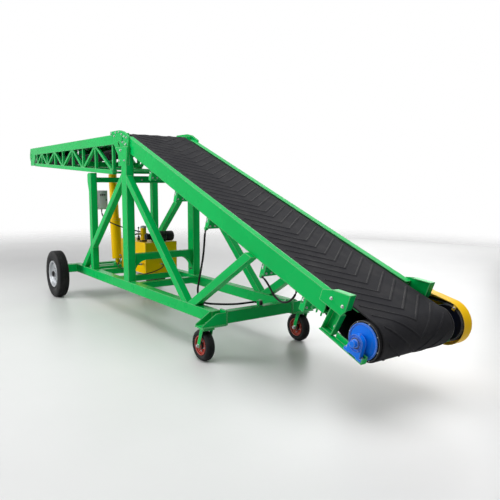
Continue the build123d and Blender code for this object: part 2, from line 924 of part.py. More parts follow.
plate_to = channel_to + tail_plate_length
lip_z = channel_top + tail_lip_rise
plate_low = (channel_bottom + channel_top) / 2
tail_plate_points = [
    (channel_to - tail_plate_lap, plate_low),
    (plate_to - pocket_lean, plate_low),
    (plate_to, plate_low + tail_lip),
    (plate_to, lip_z + tail_lip_rise),
    (channel_to + pocket_lean, lip_z),
    (channel_to - tail_plate_lap, channel_top),
]
lip_points = [
    (plate_to, lip_z + tail_lip_rise),
    (channel_to + pocket_lean, lip_z),
    (channel_to + pocket_lean, lip_z - tail_lip_plate),
    (plate_to, lip_z + tail_lip_rise - tail_lip_plate),
]
pocket_to = plate_to - pocket_lean
pocket_bottom = takeup_bar_top
pocket_points = [
    (pocket_to - pocket_length, plate_low),
    (pocket_to, plate_low),
    (pocket_to - pocket_lean, pocket_bottom),
    (pocket_to - pocket_lean - pocket_length, pocket_bottom),
]
hollow_points = [
    (pocket_to - pocket_length + pocket_wall, plate_low),
    (pocket_to - pocket_wall, plate_low),
    (pocket_to - pocket_lean - pocket_wall, pocket_bottom + pocket_wall),
    (pocket_to - pocket_lean - pocket_length + pocket_wall, pocket_bottom + pocket_wall),
]
tail_plate_y = side_outer_y + tail_plate
with BuildPart() as tail_brackets:
    side_plate(pocket_points, pocket_inner_y, tail_plate_y, slope_side)
    side_plate(hollow_points, pocket_inner_y + pocket_wall, tail_plate_y, slope_side, Mode.SUBTRACT)
    side_plate(tail_plate_points, side_outer_y, tail_plate_y, slope_side)
    side_plate(lip_points, tail_plate_y - tail_lip, tail_plate_y, slope_side)
    side_box(
        plate_to - tail_lip_plate, plate_to, plate_low + tail_lip, lip_z + tail_lip_rise - tail_lip_plate,
        tail_plate_y - tail_lip, side_outer_y, slope_side,
    )
    mirror(about=Plane.XZ)
save(tail_brackets, "tail_brackets")

takeup_outer_y = side_outer_y + takeup_overhang
takeup_inner_y = takeup_outer_y - takeup_bar_width
leg_top = takeup_bar_top - takeup_bar_wall
with BuildPart() as takeup_bars:
    side_box(
        takeup_from, takeup_to, leg_top, takeup_bar_top, takeup_inner_y, takeup_outer_y, slope_side
    )
    side_box(
        pocket_to, takeup_to, leg_top, leg_top + takeup_bar_height,
        takeup_inner_y, takeup_inner_y + takeup_bar_wall, slope_side,
    )
    side_box(
        takeup_to - takeup_bar_wall, takeup_to, leg_top, takeup_bar_top + takeup_tab,
        takeup_inner_y, takeup_outer_y, slope_side,
    )
    mirror(about=Plane.XZ)
save(takeup_bars, "takeup_bars")

bearing_y = takeup_outer_y - bearing_width
tail_shaft_shoulder = takeup_outer_y + bearing_ring
with BuildPart() as tail_drum:
    cross_rod((tail_along, tail_above), tail_drum_r - seat_gap, -tail_drum_half, tail_drum_half, slope_side)
    cross_rod(
        (tail_along, tail_above), tail_shaft_r,
        -tail_shaft_shoulder, guard_outer_y - 2 * guard_wall, slope_side,
    )
    cross_rod(
        (tail_along, tail_above), tail_stub_r,
        -tail_shaft_shoulder - tail_stub_length, -tail_shaft_shoulder, slope_side,
    )
save(tail_drum, "tail_drum")

disc_y = tail_drum_half + seat_gap
disc_bore = tail_shaft_r + running_gap
tail_axle = Axis((on_slope(tail_along, tail_above)[0], 0, on_slope(tail_along, tail_above)[1]), (0, 1, 0))
with BuildPart() as tail_discs:
    with BuildSketch(Plane(origin=tail_axle.position, x_dir=(0, 1, 0), z_dir=(1, 0, 0))):
        with BuildLine():
            Polyline(
                (disc_y, disc_bore),
                (disc_y, end_disc_r),
                (disc_y + end_disc_rim, end_disc_r),
                (disc_y + end_disc_rim, end_disc_r - end_disc_rim),
                (disc_y + end_disc_rim / 2, end_disc_r - end_disc_rim),
                (disc_y + end_disc_dish, end_disc_neck_r),
                (bearing_y - seat_gap, end_disc_neck_r),
                (bearing_y - seat_gap, disc_bore),
                close=True,
            )
        make_face()
    revolve(axis=tail_axle)
    mirror(about=Plane.XZ)
save(tail_discs, "tail_discs")

foot_top = takeup_bar_top + bearing_foot
with BuildPart() as tail_bearings:
    side_box(
        tail_along - bearing_half, tail_along + bearing_half, takeup_bar_top, foot_top,
        bearing_y, takeup_outer_y, slope_side,
    )
    side_plate(
        [
            (tail_along - bearing_neck, foot_top),
            (tail_along + bearing_neck, foot_top),
            (tail_along + bearing_r, tail_above),
            (tail_along - bearing_r, tail_above),
        ],
        bearing_y, takeup_outer_y, slope_side,
    )
    side_box(
        tail_along - bearing_neck / 2, tail_along + bearing_neck / 2,
        takeup_bar_top, takeup_bar_top + bearing_foot / 3,
        bearing_y, takeup_outer_y, slope_side, Mode.SUBTRACT,
    )
    cross_rod((tail_along, tail_above), bearing_r, bearing_y, takeup_outer_y, slope_side)
    cross_rod((tail_along, tail_above), bearing_ring_r, bearing_y, tail_shaft_shoulder, slope_side)
    cross_rod(
        (tail_along, tail_above), disc_bore, bearing_y, tail_shaft_shoulder, slope_side, Mode.SUBTRACT
    )
    mirror(about=Plane.XZ)
save(tail_bearings, "tail_bearings")

tail_x, tail_z = on_slope(tail_along, tail_above)
motor_along = tail_along - drive_centres * cos(slope - drive_slope)
motor_above = tail_above - drive_centres * sin(slope - drive_slope)
drive_side = Plane(
    origin=(tail_x, 0, tail_z), x_dir=(cos(drive_slope), 0, -sin(drive_slope)), z_dir=(0, -1, 0)
)


def guard_outline(y_from, y_to, radius, mode):
    """Adds or cuts the rounded guard outline about the two pulley axes."""
    with BuildSketch(drive_side.offset(-y_from)) as outline:
        with Locations((-drive_centres / 2, 0)):
            SlotCenterToCenter(drive_centres, 2 * radius)
    extrude(outline.sketch, amount=y_from - y_to, mode=mode)


with BuildPart() as drive_guard:
    guard_outline(guard_inner_y, guard_outer_y, guard_r, Mode.ADD)
    guard_outline(guard_inner_y, guard_outer_y - guard_wall, guard_r - guard_wall, Mode.SUBTRACT)
    for (before_tail, above), root_y in ((rail_stay, side_outer_y), (tail_stay, tail_plate_y)):
        stay_at = (tail_along - before_tail, above)
        cross_rod(stay_at, stay_r, root_y, guard_outer_y - guard_wall / 2, slope_side)
save(drive_guard, "drive_guard")

pulley_y = (guard_inner_y + guard_outer_y - pulley_width) / 2
pulley_to_y = pulley_y + pulley_width
belt_lean = asin((drive_pulley_r - motor_pulley_r) / drive_centres)


def belt_hull(thickness, mode):
    """Adds or cuts the drive belts' loop, at a thickness over the pulleys, in the current sketch."""
    tail_r = drive_pulley_r + thickness
    motor_r_out = motor_pulley_r + thickness
    corners = []
    for centre, radius in ((0, tail_r), (-drive_centres, motor_r_out)):
        corners.append((centre + radius * sin(belt_lean), radius * cos(belt_lean)))
    lower = [(x, -y) for x, y in reversed(corners)]
    with BuildLine() as outline:
        Line(corners[1], corners[0])
        ThreePointArc(corners[0], (tail_r, 0), lower[1])
        Line(lower[1], lower[0])
        ThreePointArc(lower[0], (-drive_centres - motor_r_out, 0), corners[1])
    make_face(outline.edges(), mode=mode)


pulleys = (
    ((0, 0), drive_pulley_r, tail_shaft_r),
    ((-drive_centres, 0), motor_pulley_r, motor_shaft_r),
)
with BuildPart() as drive_pulleys:
    for centre, radius, bore in pulleys:
        cross_rod(centre, radius, pulley_y, pulley_to_y, drive_side)
        cross_rod(centre, bore + running_gap, pulley_y, pulley_to_y, drive_side, Mode.SUBTRACT)
    with BuildSketch(drive_side.offset(-pulley_y - belt_run)) as loop:
        belt_hull(belt_run, Mode.ADD)
        belt_hull(0, Mode.SUBTRACT)
    extrude(loop.sketch, amount=2 * belt_run - pulley_width)
save(drive_pulleys, "drive_pulleys")

with BuildPart() as drive_motor:
    cross_rod((-drive_centres, 0), motor_r, side_outer_y - motor_length, side_outer_y, drive_side)
    cross_rod((-drive_centres, 0), motor_shaft_r, side_outer_y, pulley_to_y, drive_side)
    side_box(
        motor_along - motor_foot / 2, motor_along + motor_foot / 2, motor_above, channel_bottom,
        side_outer_y - channel_flange, side_outer_y, slope_side,
    )
save(drive_motor, "drive_motor")

# Boom

lower_rise = (lower_chord_tip_z - lower_chord_z) / (lower_chord_x - lower_chord_tip_x)


def lower_z(x):
    """Height of the lower chord's under face."""
    return lower_chord_z + (lower_chord_x - x) * lower_rise


lattice_inner_y = boom_outer_y - (chord_width + lattice_depth) / 2
lattice_outer_y = lattice_inner_y + lattice_depth
chord_bottom_z = chord_top_z - chord_height
eye_end_x = hinge_x + hinge_z - chord_bottom_z
with BuildPart() as boom_trusses:
    side_box(chord_end_x, eye_end_x, chord_bottom_z, chord_top_z, boom_inner_y, boom_outer_y)
    side_plate(
        [
            (lower_chord_x, lower_chord_z),
            (lower_chord_x, lower_chord_z + lower_chord_height),
            (chord_end_x, lower_z(chord_end_x) + lower_chord_height),
            (chord_end_x, lower_z(chord_end_x)),
        ],
        boom_inner_y, boom_outer_y,
    )
    lattice_points = []
    for index, x in enumerate(lattice_x):
        low_z = lower_z(x) + lower_chord_height / 2
        high_z = chord_bottom_z + lattice_bar / 2
        side_box(x - lattice_bar / 2, x + lattice_bar / 2, low_z, high_z, lattice_inner_y, lattice_outer_y)
        lattice_points.append((x, high_z if index % 2 else low_z))
    for start, end in zip(lattice_points, lattice_points[1:]):
        side_plate(slanted_bar(start, end, lattice_bar), lattice_inner_y, lattice_outer_y)
    cross_rod((hinge_x, hinge_z), hinge_boss_r, boom_outer_y, side_outer_y - seat_gap)
    cross_rod(
        (hinge_x, hinge_z), hinge_shaft_r + running_gap, boom_inner_y, side_outer_y, mode=Mode.SUBTRACT
    )
    mirror(about=Plane.XZ)
save(boom_trusses, "boom_trusses")

with BuildPart() as boom_cross_ties:
    for index, x in enumerate(lattice_x):
        if index % 2 == 0 and index != lift_lattice:
            side_box(
                x - boom_tie_size / 2, x + boom_tie_size / 2,
                lower_z(x) + boom_tie_size / 4, lower_z(x) + boom_tie_size,
                -boom_inner_y, boom_inner_y,
            )
save(boom_cross_ties, "boom_cross_ties")

boom_deck_top = hinge_z + deck_top
with BuildPart() as boom_deck:
    side_box(
        chord_end_x, hinge_x - deck_clear, boom_deck_top - deck_thickness, boom_deck_top,
        -boom_inner_y, boom_inner_y,
    )
save(boom_deck, "boom_deck")

# Belt on the boom: carrying strand, wrap round the head drum, return strand over the bend roller.
head_outer_r = head_drum_r + belt_thickness
bend_outer_r = bend_r + ridge_height
return_centres = hypot(hinge_x - head_x, bend_z - head_z)
return_rise = asin((head_outer_r + bend_outer_r) / return_centres) + atan2(
    bend_z - head_z, hinge_x - head_x
)
return_out = (-sin(return_rise), cos(return_rise))


def boom_return(offset):
    """Ends of the return strand, offset inwards from the belt's outer face."""
    drum_r = head_outer_r - offset
    roller_r = bend_outer_r + offset
    leave = (head_x - drum_r * return_out[0], head_z - drum_r * return_out[1])
    over = (hinge_x + roller_r * return_out[0], bend_z + roller_r * return_out[1])
    return leave, over


boom_outer_leave, boom_outer_over = boom_return(0)
boom_inner_leave, boom_inner_over = boom_return(belt_thickness)
belt_top_z = hinge_z + belt_above
belt_under_z = hinge_z + crest_r
with BuildPart() as boom_belt:
    with BuildSketch(Plane.XZ.offset(belt_half)):
        with BuildLine():
            Line((hinge_x, belt_top_z), (head_x, belt_top_z))
            ThreePointArc((head_x, belt_top_z), (head_x - head_outer_r, head_z), boom_outer_leave)
            Line(boom_outer_leave, boom_outer_over)
            Line(boom_outer_over, boom_inner_over)
            Line(boom_inner_over, boom_inner_leave)
            ThreePointArc(boom_inner_leave, (head_x - head_drum_r, head_z), (head_x, belt_under_z))
            Line((head_x, belt_under_z), (hinge_x, belt_under_z))
            Line((hinge_x, belt_under_z), (hinge_x, belt_top_z))
        make_face()
    extrude(amount=-2 * belt_half)
    boom_ridge_count = int((hinge_x - head_x - rake_length - ridge_along) // ridge_pitch)
    for ridge in range(boom_ridge_count):
        along = hinge_x - rake_length - 2 * ridge_along - ridge * ridge_pitch
        with BuildSketch(Plane.XY.offset(belt_top_z)):
            with BuildLine():
                Polyline(
                    (along, -ridge_half),
                    (along + rake_length, 0),
                    (along, ridge_half),
                    (along + ridge_along, ridge_half),
                    (along + rake_length + ridge_along, 0),
                    (along + ridge_along, -ridge_half),
                    close=True,
                )
            make_face()
        extrude(amount=ridge_height)
save(boom_belt, "boom_belt")

head_plate_inner_y = boom_outer_y - head_plate
with BuildPart() as head_drum:
    cross_rod((head_x, head_z), head_drum_r - seat_gap, -belt_half, belt_half)
    cross_rod((head_x, head_z), head_shaft_r, -boom_outer_y, boom_outer_y)
save(head_drum, "head_drum")

head_plate_points = [
    (chord_end_x, chord_top_z),
    (head_x - head_plate_front, chord_top_z),
    (head_x - head_plate_front, head_z - head_plate_drop),
    (chord_end_x, head_z - head_plate_drop),
]
with BuildPart() as head_plates:
    with BuildSketch(Plane.XZ.offset(-head_plate_inner_y)) as head_outline:
        with BuildLine():
            Polyline(*head_plate_points, close=True)
        make_face()
        fillet(head_outline.vertices().group_by(Axis.X)[0], head_plate_round)
        with Locations((chord_end_x, head_z - head_plate_drop + head_plate_cut_r / 2)):
            Circle(head_plate_cut_r, mode=Mode.SUBTRACT)
        with Locations((head_x, head_z)):
            Circle(head_shaft_r + running_gap, mode=Mode.SUBTRACT)
    extrude(amount=-head_plate)
    mirror(about=Plane.XZ)
save(head_plates, "head_plates")

nose_from = radians(94)
nose_to = radians(266)


def nose_point(radius, angle):
    """Point of the nose guard's side view about the head drum axis."""
    return head_x + radius * cos(angle), head_z + radius * sin(angle)


nose_inner_r = nose_r - nose_wall
nose_middle = (nose_from + nose_to) / 2
with BuildPart() as nose_guard:
    with BuildSketch(Plane.XZ.offset(head_plate_inner_y)):
        with BuildLine():
            ThreePointArc(
                nose_point(nose_r, nose_from), nose_point(nose_r, nose_middle), nose_point(nose_r, nose_to)
            )
            Line(nose_point(nose_r, nose_to), nose_point(nose_inner_r, nose_to))
            ThreePointArc(
                nose_point(nose_inner_r, nose_to), nose_point(nose_inner_r, nose_middle),
                nose_point(nose_inner_r, nose_from),
            )
            Line(nose_point(nose_inner_r, nose_from), nose_point(nose_r, nose_from))
        make_face()
    extrude(amount=-2 * head_plate_inner_y)
save(nose_guard, "nose_guard")

ear_inner_y = lift_eye_width / 2 + lift_ear_gap
ear_outer_y = ear_inner_y + lift_ear
with BuildPart() as lift_beam:
    side_box(
        lift_eye_x - lift_beam_width / 2, lift_eye_x + lift_beam_width / 2,
        lift_beam_z, lift_beam_z + lift_beam_height, -lattice_inner_y, lattice_inner_y,
    )
    for side_y in (-1, 1):
        side_box(
            lift_eye_x - lift_ear_half, lift_eye_x + lift_ear_half, lift_eye_z, lift_beam_z,
            side_y * ear_inner_y, side_y * ear_outer_y,
        )
        cross_rod((lift_eye_x, lift_eye_z), lift_ear_half, side_y * ear_inner_y, side_y * ear_outer_y)
        cross_rod(
            (lift_eye_x, lift_eye_z), lift_pin_r + lift_pin_play,
            side_y * ear_inner_y, side_y * ear_outer_y, mode=Mode.SUBTRACT,
        )
save(lift_beam, "lift_beam")

# Lift cylinder

with BuildPart() as cylinder_base:
    for side_y in (-1, 1):
        side_box(
            lift_base_x - cross_width / 2, lift_base_x + cross_width / 2,
            rail_top_z - cross_height, lift_base_z + lift_eye_r,
            side_y * ear_inner_y, side_y * ear_outer_y,
        )
    cross_rod((lift_base_x, lift_base_z), lift_pin_r, -ear_outer_y, ear_outer_y)
save(cylinder_base, "cylinder_base")

upright = (Align.CENTER, Align.CENTER, Align.MIN)
with BuildPart(lift_frame) as lift_barrel:
    Cylinder(lift_base_eye_r, lift_eye_width, rotation=(0, 90, 0))
    Cylinder(lift_neck_r, lift_barrel_from, align=upright)
    with Locations((0, 0, lift_port_at)):
        Cylinder(port_r, lift_barrel_r + port_length, rotation=(-90, 0, 0), align=upright)
    with Locations((0, 0, lift_barrel_from)):
        Cylinder(lift_barrel_r, lift_barrel_to - lift_barrel_from, align=upright)
    with Locations((0, 0, lift_barrel_to - lift_gland_length)):
        Cylinder(lift_gland_r, lift_gland_length, align=upright)
    with Locations((0, 0, lift_barrel_from + lift_barrel_wall)):
        Cylinder(
            lift_barrel_r - lift_barrel_wall,
            lift_barrel_to - lift_gland_length - lift_barrel_from - lift_barrel_wall,
            align=upright, mode=Mode.SUBTRACT,
        )
    with Locations((0, 0, lift_barrel_from + lift_barrel_wall)):
        Cylinder(lift_rod_r + running_gap, lift_barrel_to, align=upright, mode=Mode.SUBTRACT)
    Cylinder(lift_pin_r + running_gap, lift_eye_width, rotation=(0, 90, 0), mode=Mode.SUBTRACT)
save(lift_barrel, "lift_barrel")

pin_half = ear_outer_y + lift_ear_gap + lift_washer
with BuildPart(lift_frame) as lift_rod:
    with Locations((0, 0, lift_rod_from)):
        Cylinder(lift_rod_r, lift_length - lift_eye_r - lift_rod_from, align=upright)
    with Locations((0, 0, lift_length)):
        Cylinder(lift_eye_r, lift_eye_width, rotation=(0, 90, 0))
        Cylinder(lift_pin_r, 2 * pin_half, rotation=(0, 90, 0))
    with Locations((0, 0, lift_length - lift_eye_r - lift_neck_r)):
        Cylinder(lift_neck_r, lift_eye_r, align=upright)
    for side_y in (-1, 1):
        with Locations((side_y * (pin_half - lift_washer / 2), 0, lift_length)):
            Cylinder(lift_pin_r + lift_pin_play + lift_washer, lift_washer, rotation=(0, 90, 0))
save(lift_rod, "lift_rod")

# Hydraulic unit and controls

tank_top_z = rail_top_z + tank_height
with BuildPart() as hydraulic_tank:
    side_box(tank_rear_x, tank_front_x, rail_top_z, tank_top_z, tank_left_y, tank_right_y)
    with Locations((filter_x, filter_y, tank_top_z)):
        Cylinder(filter_r, filter_height, align=upright)
    cross_rod(
        (filter_x, tank_top_z + filter_port_z), port_r, filter_y, filter_y - filter_r - port_length
    )
    cross_rod(return_port, port_r, tank_left_y, tank_left_y - port_length)
    with BuildSketch(Plane.YZ.offset(tank_front_x)):
        with Locations(front_port):
            Circle(port_r)
    extrude(amount=port_length)
save(hydraulic_tank, "hydraulic_tank")

pump_x = tank_front_x - pump_set
pump_z = tank_top_z + pump_foot + pump_motor_r
pump_from_y = tank_left_y + pump_start
motor_from_y = pump_from_y + pump_length
motor_to_y = motor_from_y + pump_motor_length
terminal_y = motor_from_y + pump_motor_r
with BuildPart() as pump_motor:
    cross_rod((pump_x, pump_z), pump_motor_r, motor_from_y, motor_to_y)
    cross_rod((pump_x, pump_z), pump_r, pump_from_y, motor_from_y)
    side_box(
        pump_x - pump_r, pump_x + pump_r, tank_top_z, pump_z, motor_from_y + pump_r, motor_to_y - pump_r
    )
    side_box(
        pump_x - terminal_reach, pump_x, pump_z - terminal_box / 2, pump_z + terminal_box / 2,
        terminal_y - terminal_box / 2, terminal_y + terminal_box / 2,
    )
save(pump_motor, "pump_motor")

with BuildPart() as valve_block:
    with Locations((valve_x, valve_y, tank_top_z)):
        Box(valve_width, valve_width, valve_height, align=upright)
save(valve_block, "valve_block")

box_gland_x = rest_post_x + control_box_width / 2
box_gland_y = -rest_inner_y + control_box_depth / 2
with BuildPart() as control_box:
    side_box(
        rest_post_x, rest_post_x + control_box_width, control_box_z, control_box_z + control_box_height,
        -rest_inner_y, -rest_inner_y + control_box_depth,
    )
    with Locations((box_gland_x, box_gland_y, control_box_z)):
        Cylinder(gland_r, gland_length, align=(Align.CENTER, Align.CENTER, Align.MAX))
save(control_box, "control_box")

# Castors and road wheels, left then right

fork_lean = atan2(castor_trail, fork_top_z - castor_tyre_r)
strip_x = fork_strip / 2 * cos(fork_lean)
strip_z = fork_strip / 2 * sin(fork_lean)
strip_half = fork_strip / 2 / cos(fork_lean)
strip_points = [
    (castor_swivel_x - strip_half, fork_top_z),
    (castor_swivel_x + strip_half, fork_top_z),
    (castor_axle_x + strip_x, castor_tyre_r - strip_z),
    (castor_axle_x - strip_x, castor_tyre_r + strip_z),
]
for side_name, side_y in (("left", -1), ("right", 1)):
    mid_y = side_y * castor_y
    half = castor_tyre_width / 2 + fork_gap + fork_plate
    with BuildPart() as castor_fork:
        side_box(
            castor_swivel_x - fork_width / 2, castor_swivel_x + fork_width / 2,
            fork_top_z - fork_top, fork_top_z, mid_y - half, mid_y + half,
        )
        for plate_y in (mid_y - half, mid_y + half - fork_plate):
            side_plate(strip_points, plate_y, plate_y + fork_plate)
            cross_rod((castor_axle_x, castor_tyre_r), fork_strip / 2, plate_y, plate_y + fork_plate)
        cross_rod((castor_axle_x, castor_tyre_r), castor_axle_r, mid_y - half, mid_y + half)
        with Locations((castor_swivel_x, mid_y, fork_top_z)):
            Cylinder(castor_race_r, castor_race_height - seat_gap, align=upright)
            Cylinder(castor_stem_r, castor_race_height + 2 * bracket_base, align=upright)
        with Locations((castor_swivel_x, mid_y, bracket_base_z + bracket_base + seat_gap)):
            Cylinder(castor_stem_r + fork_plate, bracket_base, align=upright)
    save(castor_fork, f"castor_fork_{side_name}")

    castor_axle = Axis((castor_axle_x, 0, castor_tyre_r), (0, 1, 0))
    castor_section = Plane(origin=(castor_axle_x, mid_y, castor_tyre_r), x_dir=(0, 1, 0), z_dir=(1, 0, 0))
    with BuildPart() as castor_tyre:
        with BuildSketch(castor_section):
            tyre_face(
                castor_tyre_width / 2, castor_rim_r + seat_gap, castor_tyre_r, castor_bead, castor_shoulder
            )
        revolve(axis=castor_axle)
    save(castor_tyre, f"castor_tyre_{side_name}")

    with BuildPart() as castor_rim:
        with BuildSketch(castor_section):
            with BuildLine():
                Polyline(
                    (-castor_tyre_width / 2 - fork_gap + seat_gap, castor_axle_r + running_gap),
                    (castor_tyre_width / 2 + fork_gap - seat_gap, castor_axle_r + running_gap),
                    (castor_tyre_width / 2 + fork_gap - seat_gap, castor_hub_r),
                    (castor_tyre_width / 4, castor_hub_r),
                    (castor_tyre_width / 4, castor_rim_r - castor_hub_r / 2),
                    (castor_tyre_width / 2 - fork_gap, castor_rim_r - castor_hub_r / 4),
                    (castor_tyre_width / 2 - fork_gap, castor_rim_r),
                    (-castor_tyre_width / 2 + fork_gap, castor_rim_r),
                    (-castor_tyre_width / 2 + fork_gap, castor_rim_r - castor_hub_r / 4),
                    (-castor_tyre_width / 4, castor_rim_r - castor_hub_r / 2),
                    (-castor_tyre_width / 4, castor_hub_r),
                    (-castor_tyre_width / 2 - fork_gap + seat_gap, castor_hub_r),
                    close=True,
                )
            make_face()
        revolve(axis=castor_axle)
        for hole in ring_points(castor_rim_holes, castor_rim_hole_at, (castor_axle_x, castor_tyre_r)):
            cross_rod(
                hole, castor_rim_hole_r, mid_y - castor_tyre_width / 2, mid_y + castor_tyre_width / 2,
                mode=Mode.SUBTRACT,
            )
    save(castor_rim, f"castor_rim_{side_name}")

    road_axle = Axis((road_axle_x, 0, road_tyre_r), (0, 1, 0))
    road_section = Plane(
        origin=(road_axle_x, side_y * road_wheel_y, road_tyre_r), x_dir=(0, side_y, 0), z_dir=(side_y, 0, 0)
    )
    with BuildPart() as road_tyre:
        with BuildSketch(road_section):
            tyre_face(road_tyre_width / 2, road_rim_r + seat_gap, road_tyre_r, road_bead, road_shoulder)
        revolve(axis=road_axle)
    save(road_tyre, f"road_tyre_{side_name}")

    rim_half = road_tyre_width / 2 - road_rim_flange
    with BuildPart() as road_rim:
        with BuildSketch(road_section):
            with BuildLine():
                Polyline(
                    (-road_hub_length / 2, spindle_r + running_gap),
                    (road_hub_length / 2, spindle_r + running_gap),
                    (road_hub_length / 2, road_hub_r),
                    (road_hub_length / 4, road_hub_r),
                    (road_hub_length / 4, road_rim_r - road_dish_drop),
                    (rim_half, road_rim_r - road_rim_lip),
                    (rim_half, road_rim_r),
                    (-rim_half, road_rim_r),
                    (-rim_half, road_rim_r - road_rim_lip),
                    (0, road_rim_r - road_dish_drop),
                    (0, road_hub_r),
                    (-road_hub_length / 2, road_hub_r),
                    close=True,
                )
            make_face()
        revolve(axis=road_axle)
        for hole in ring_points(road_hand_holes, road_hand_hole_at, road_axle_at):
            cross_rod(
                hole, road_hand_hole_r, side_y * (road_wheel_y - road_hub_length / 4),
                side_y * (road_wheel_y + road_hub_length / 2), mode=Mode.SUBTRACT,
            )
    save(road_rim, f"road_rim_{side_name}")

# Hoses and cables


def slope_spot(along, above, y):
    """Point in space from its place on the slope."""
    x, z = on_slope(along, above)
    return x, y, z


clip_y = -hanger_y - hanger_plate - clip_size / 2
clip_above = hanger_bottom + clip_size / 2
loop_from = return_along[3] + shield_front
gland_tip = channel_bottom - gland_length
cord(
    [
        slope_spot(loop_from, clip_above, clip_y),
        slope_spot(loop_from + 30, clip_above, clip_y),
        slope_spot(loop_from + 76, clip_above - 13, clip_y + 3),
        slope_spot(loop_from + 128, clip_above - 42, clip_y + 8),
        slope_spot(loop_from + 184, clip_above - 78, clip_y + 14),
        slope_spot(loop_from + 250, clip_above - 90, clip_y + 21),
        slope_spot(gland_along - 94, gland_tip - 167, clip_y + 28),
        slope_spot(gland_along - 42, gland_tip - 127, clip_y + 34),
        slope_spot(gland_along - 12, gland_tip - 75, clip_y + 39),
        slope_spot(gland_along, gland_tip - 29, -gland_y),
        slope_spot(gland_along, gland_tip, -gland_y),
    ],
    cable_d, "cable_loop",
)

drop_x, drop_z = on_slope(return_along[2] + shield_front - clip_size / 2, hanger_bottom)
lead_x, lead_z = on_slope(return_along[2] + shield_front - clip_size / 2, hanger_bottom - 44)
rail_clip_y = -rail_inner_y - rail_clip_width / 2
rail_clip_z = rail_top_z + rail_clip_height + trailer_cable_d / 2
socket_x = beam_x + front_beam_depth - socket_size
socket_z = beam_z + rail_height + socket_height / 2
cord(
    [
        (drop_x, clip_y, drop_z),
        (lead_x, clip_y, lead_z),
        (drop_x - 30, clip_y + 4, drop_z - 102),
        (drop_x - 52, clip_y + 11, drop_z - 184),
        (drop_x - 84, clip_y + 20, drop_z - 274),
        (drop_x - 124, clip_y + 28, drop_z - 364),
        (drop_x - 166, clip_y + 35, drop_z - 456),
        (drop_x - 204, clip_y + 41, drop_z - 548),
        (rail_clip_x - 68, rail_clip_y - 4, rail_clip_z + 144),
        (rail_clip_x - 74, rail_clip_y - 2, rail_clip_z + 96),
        (rail_clip_x - 63, rail_clip_y, rail_clip_z + 53),
        (rail_clip_x - 34, rail_clip_y, rail_clip_z + 19),
        (rail_clip_x + 6, rail_clip_y, rail_clip_z),
        (rail_clip_x + 44, rail_clip_y + 2, rail_clip_z),
        (rail_clip_x + 78, rail_clip_y + 20, rail_clip_z - 3),
        (rail_clip_x + 106, rail_clip_y + 54, rail_clip_z - 7),
        (rail_clip_x + 138, rail_clip_y + 112, rail_clip_z - 12),
        (rail_clip_x + 175, rail_clip_y + 180, rail_clip_z - 16),
        (rail_clip_x + 212, rail_clip_y + 246, rail_clip_z - 17),
        (socket_x - 164, -122, socket_z - 26),
        (socket_x - 132, -62, socket_z - 19),
        (socket_x - 104, -27, socket_z - 12),
        (socket_x - 73, -7, socket_z - 5),
        (socket_x - 36, 0, socket_z),
        (socket_x, 0, socket_z),
    ],
    trailer_cable_d, "cable_trailer",
)

box_gland_z = control_box_z - gland_length
terminal_x = pump_x - terminal_reach
cord(
    [
        (box_gland_x, box_gland_y, box_gland_z),
        (box_gland_x, box_gland_y, box_gland_z - 36),
        (box_gland_x + 14, box_gland_y + 11, box_gland_z - 82),
        (box_gland_x + 48, box_gland_y + 39, box_gland_z - 128),
        (box_gland_x + 104, box_gland_y + 84, box_gland_z - 170),
        (box_gland_x + 180, box_gland_y + 146, box_gland_z - 208),
        (box_gland_x + 268, box_gland_y + 217, box_gland_z - 241),
        (box_gland_x + 360, box_gland_y + 292, box_gland_z - 268),
        (box_gland_x + 452, box_gland_y + 369, box_gland_z - 290),
        (terminal_x - 155, terminal_y - 54, pump_z + 29),
        (terminal_x - 93, terminal_y - 16, pump_z + 11),
        (terminal_x - 40, terminal_y, pump_z),
        (terminal_x, terminal_y, pump_z),
    ],
    cable_d, "cable_pump",
)

return_x, return_z = return_port
hose_y = tank_left_y - port_length
filter_z = tank_top_z + filter_port_z
filter_tip_y = filter_y - filter_r - port_length
cord(
    [
        (filter_x, filter_tip_y, filter_z),
        (filter_x, filter_tip_y - 46, filter_z),
        (filter_x + 2, filter_tip_y - 93, filter_z - 19),
        (filter_x + 8, filter_tip_y - 129, filter_z - 54),
        (filter_x + 22, filter_tip_y - 151, filter_z - 100),
        (filter_x + 46, filter_tip_y - 166, filter_z - 159),
        (filter_x + 76, filter_tip_y - 178, filter_z - 224),
        (return_x - 59, hose_y - 147, return_z + 118),
        (return_x - 33, hose_y - 142, return_z + 72),
        (return_x - 13, hose_y - 121, return_z + 36),
        (return_x - 3, hose_y - 86, return_z + 10),
        (return_x, hose_y - 42, return_z),
        (return_x, hose_y, return_z),
    ],
    return_hose_d, "hose_return",
)

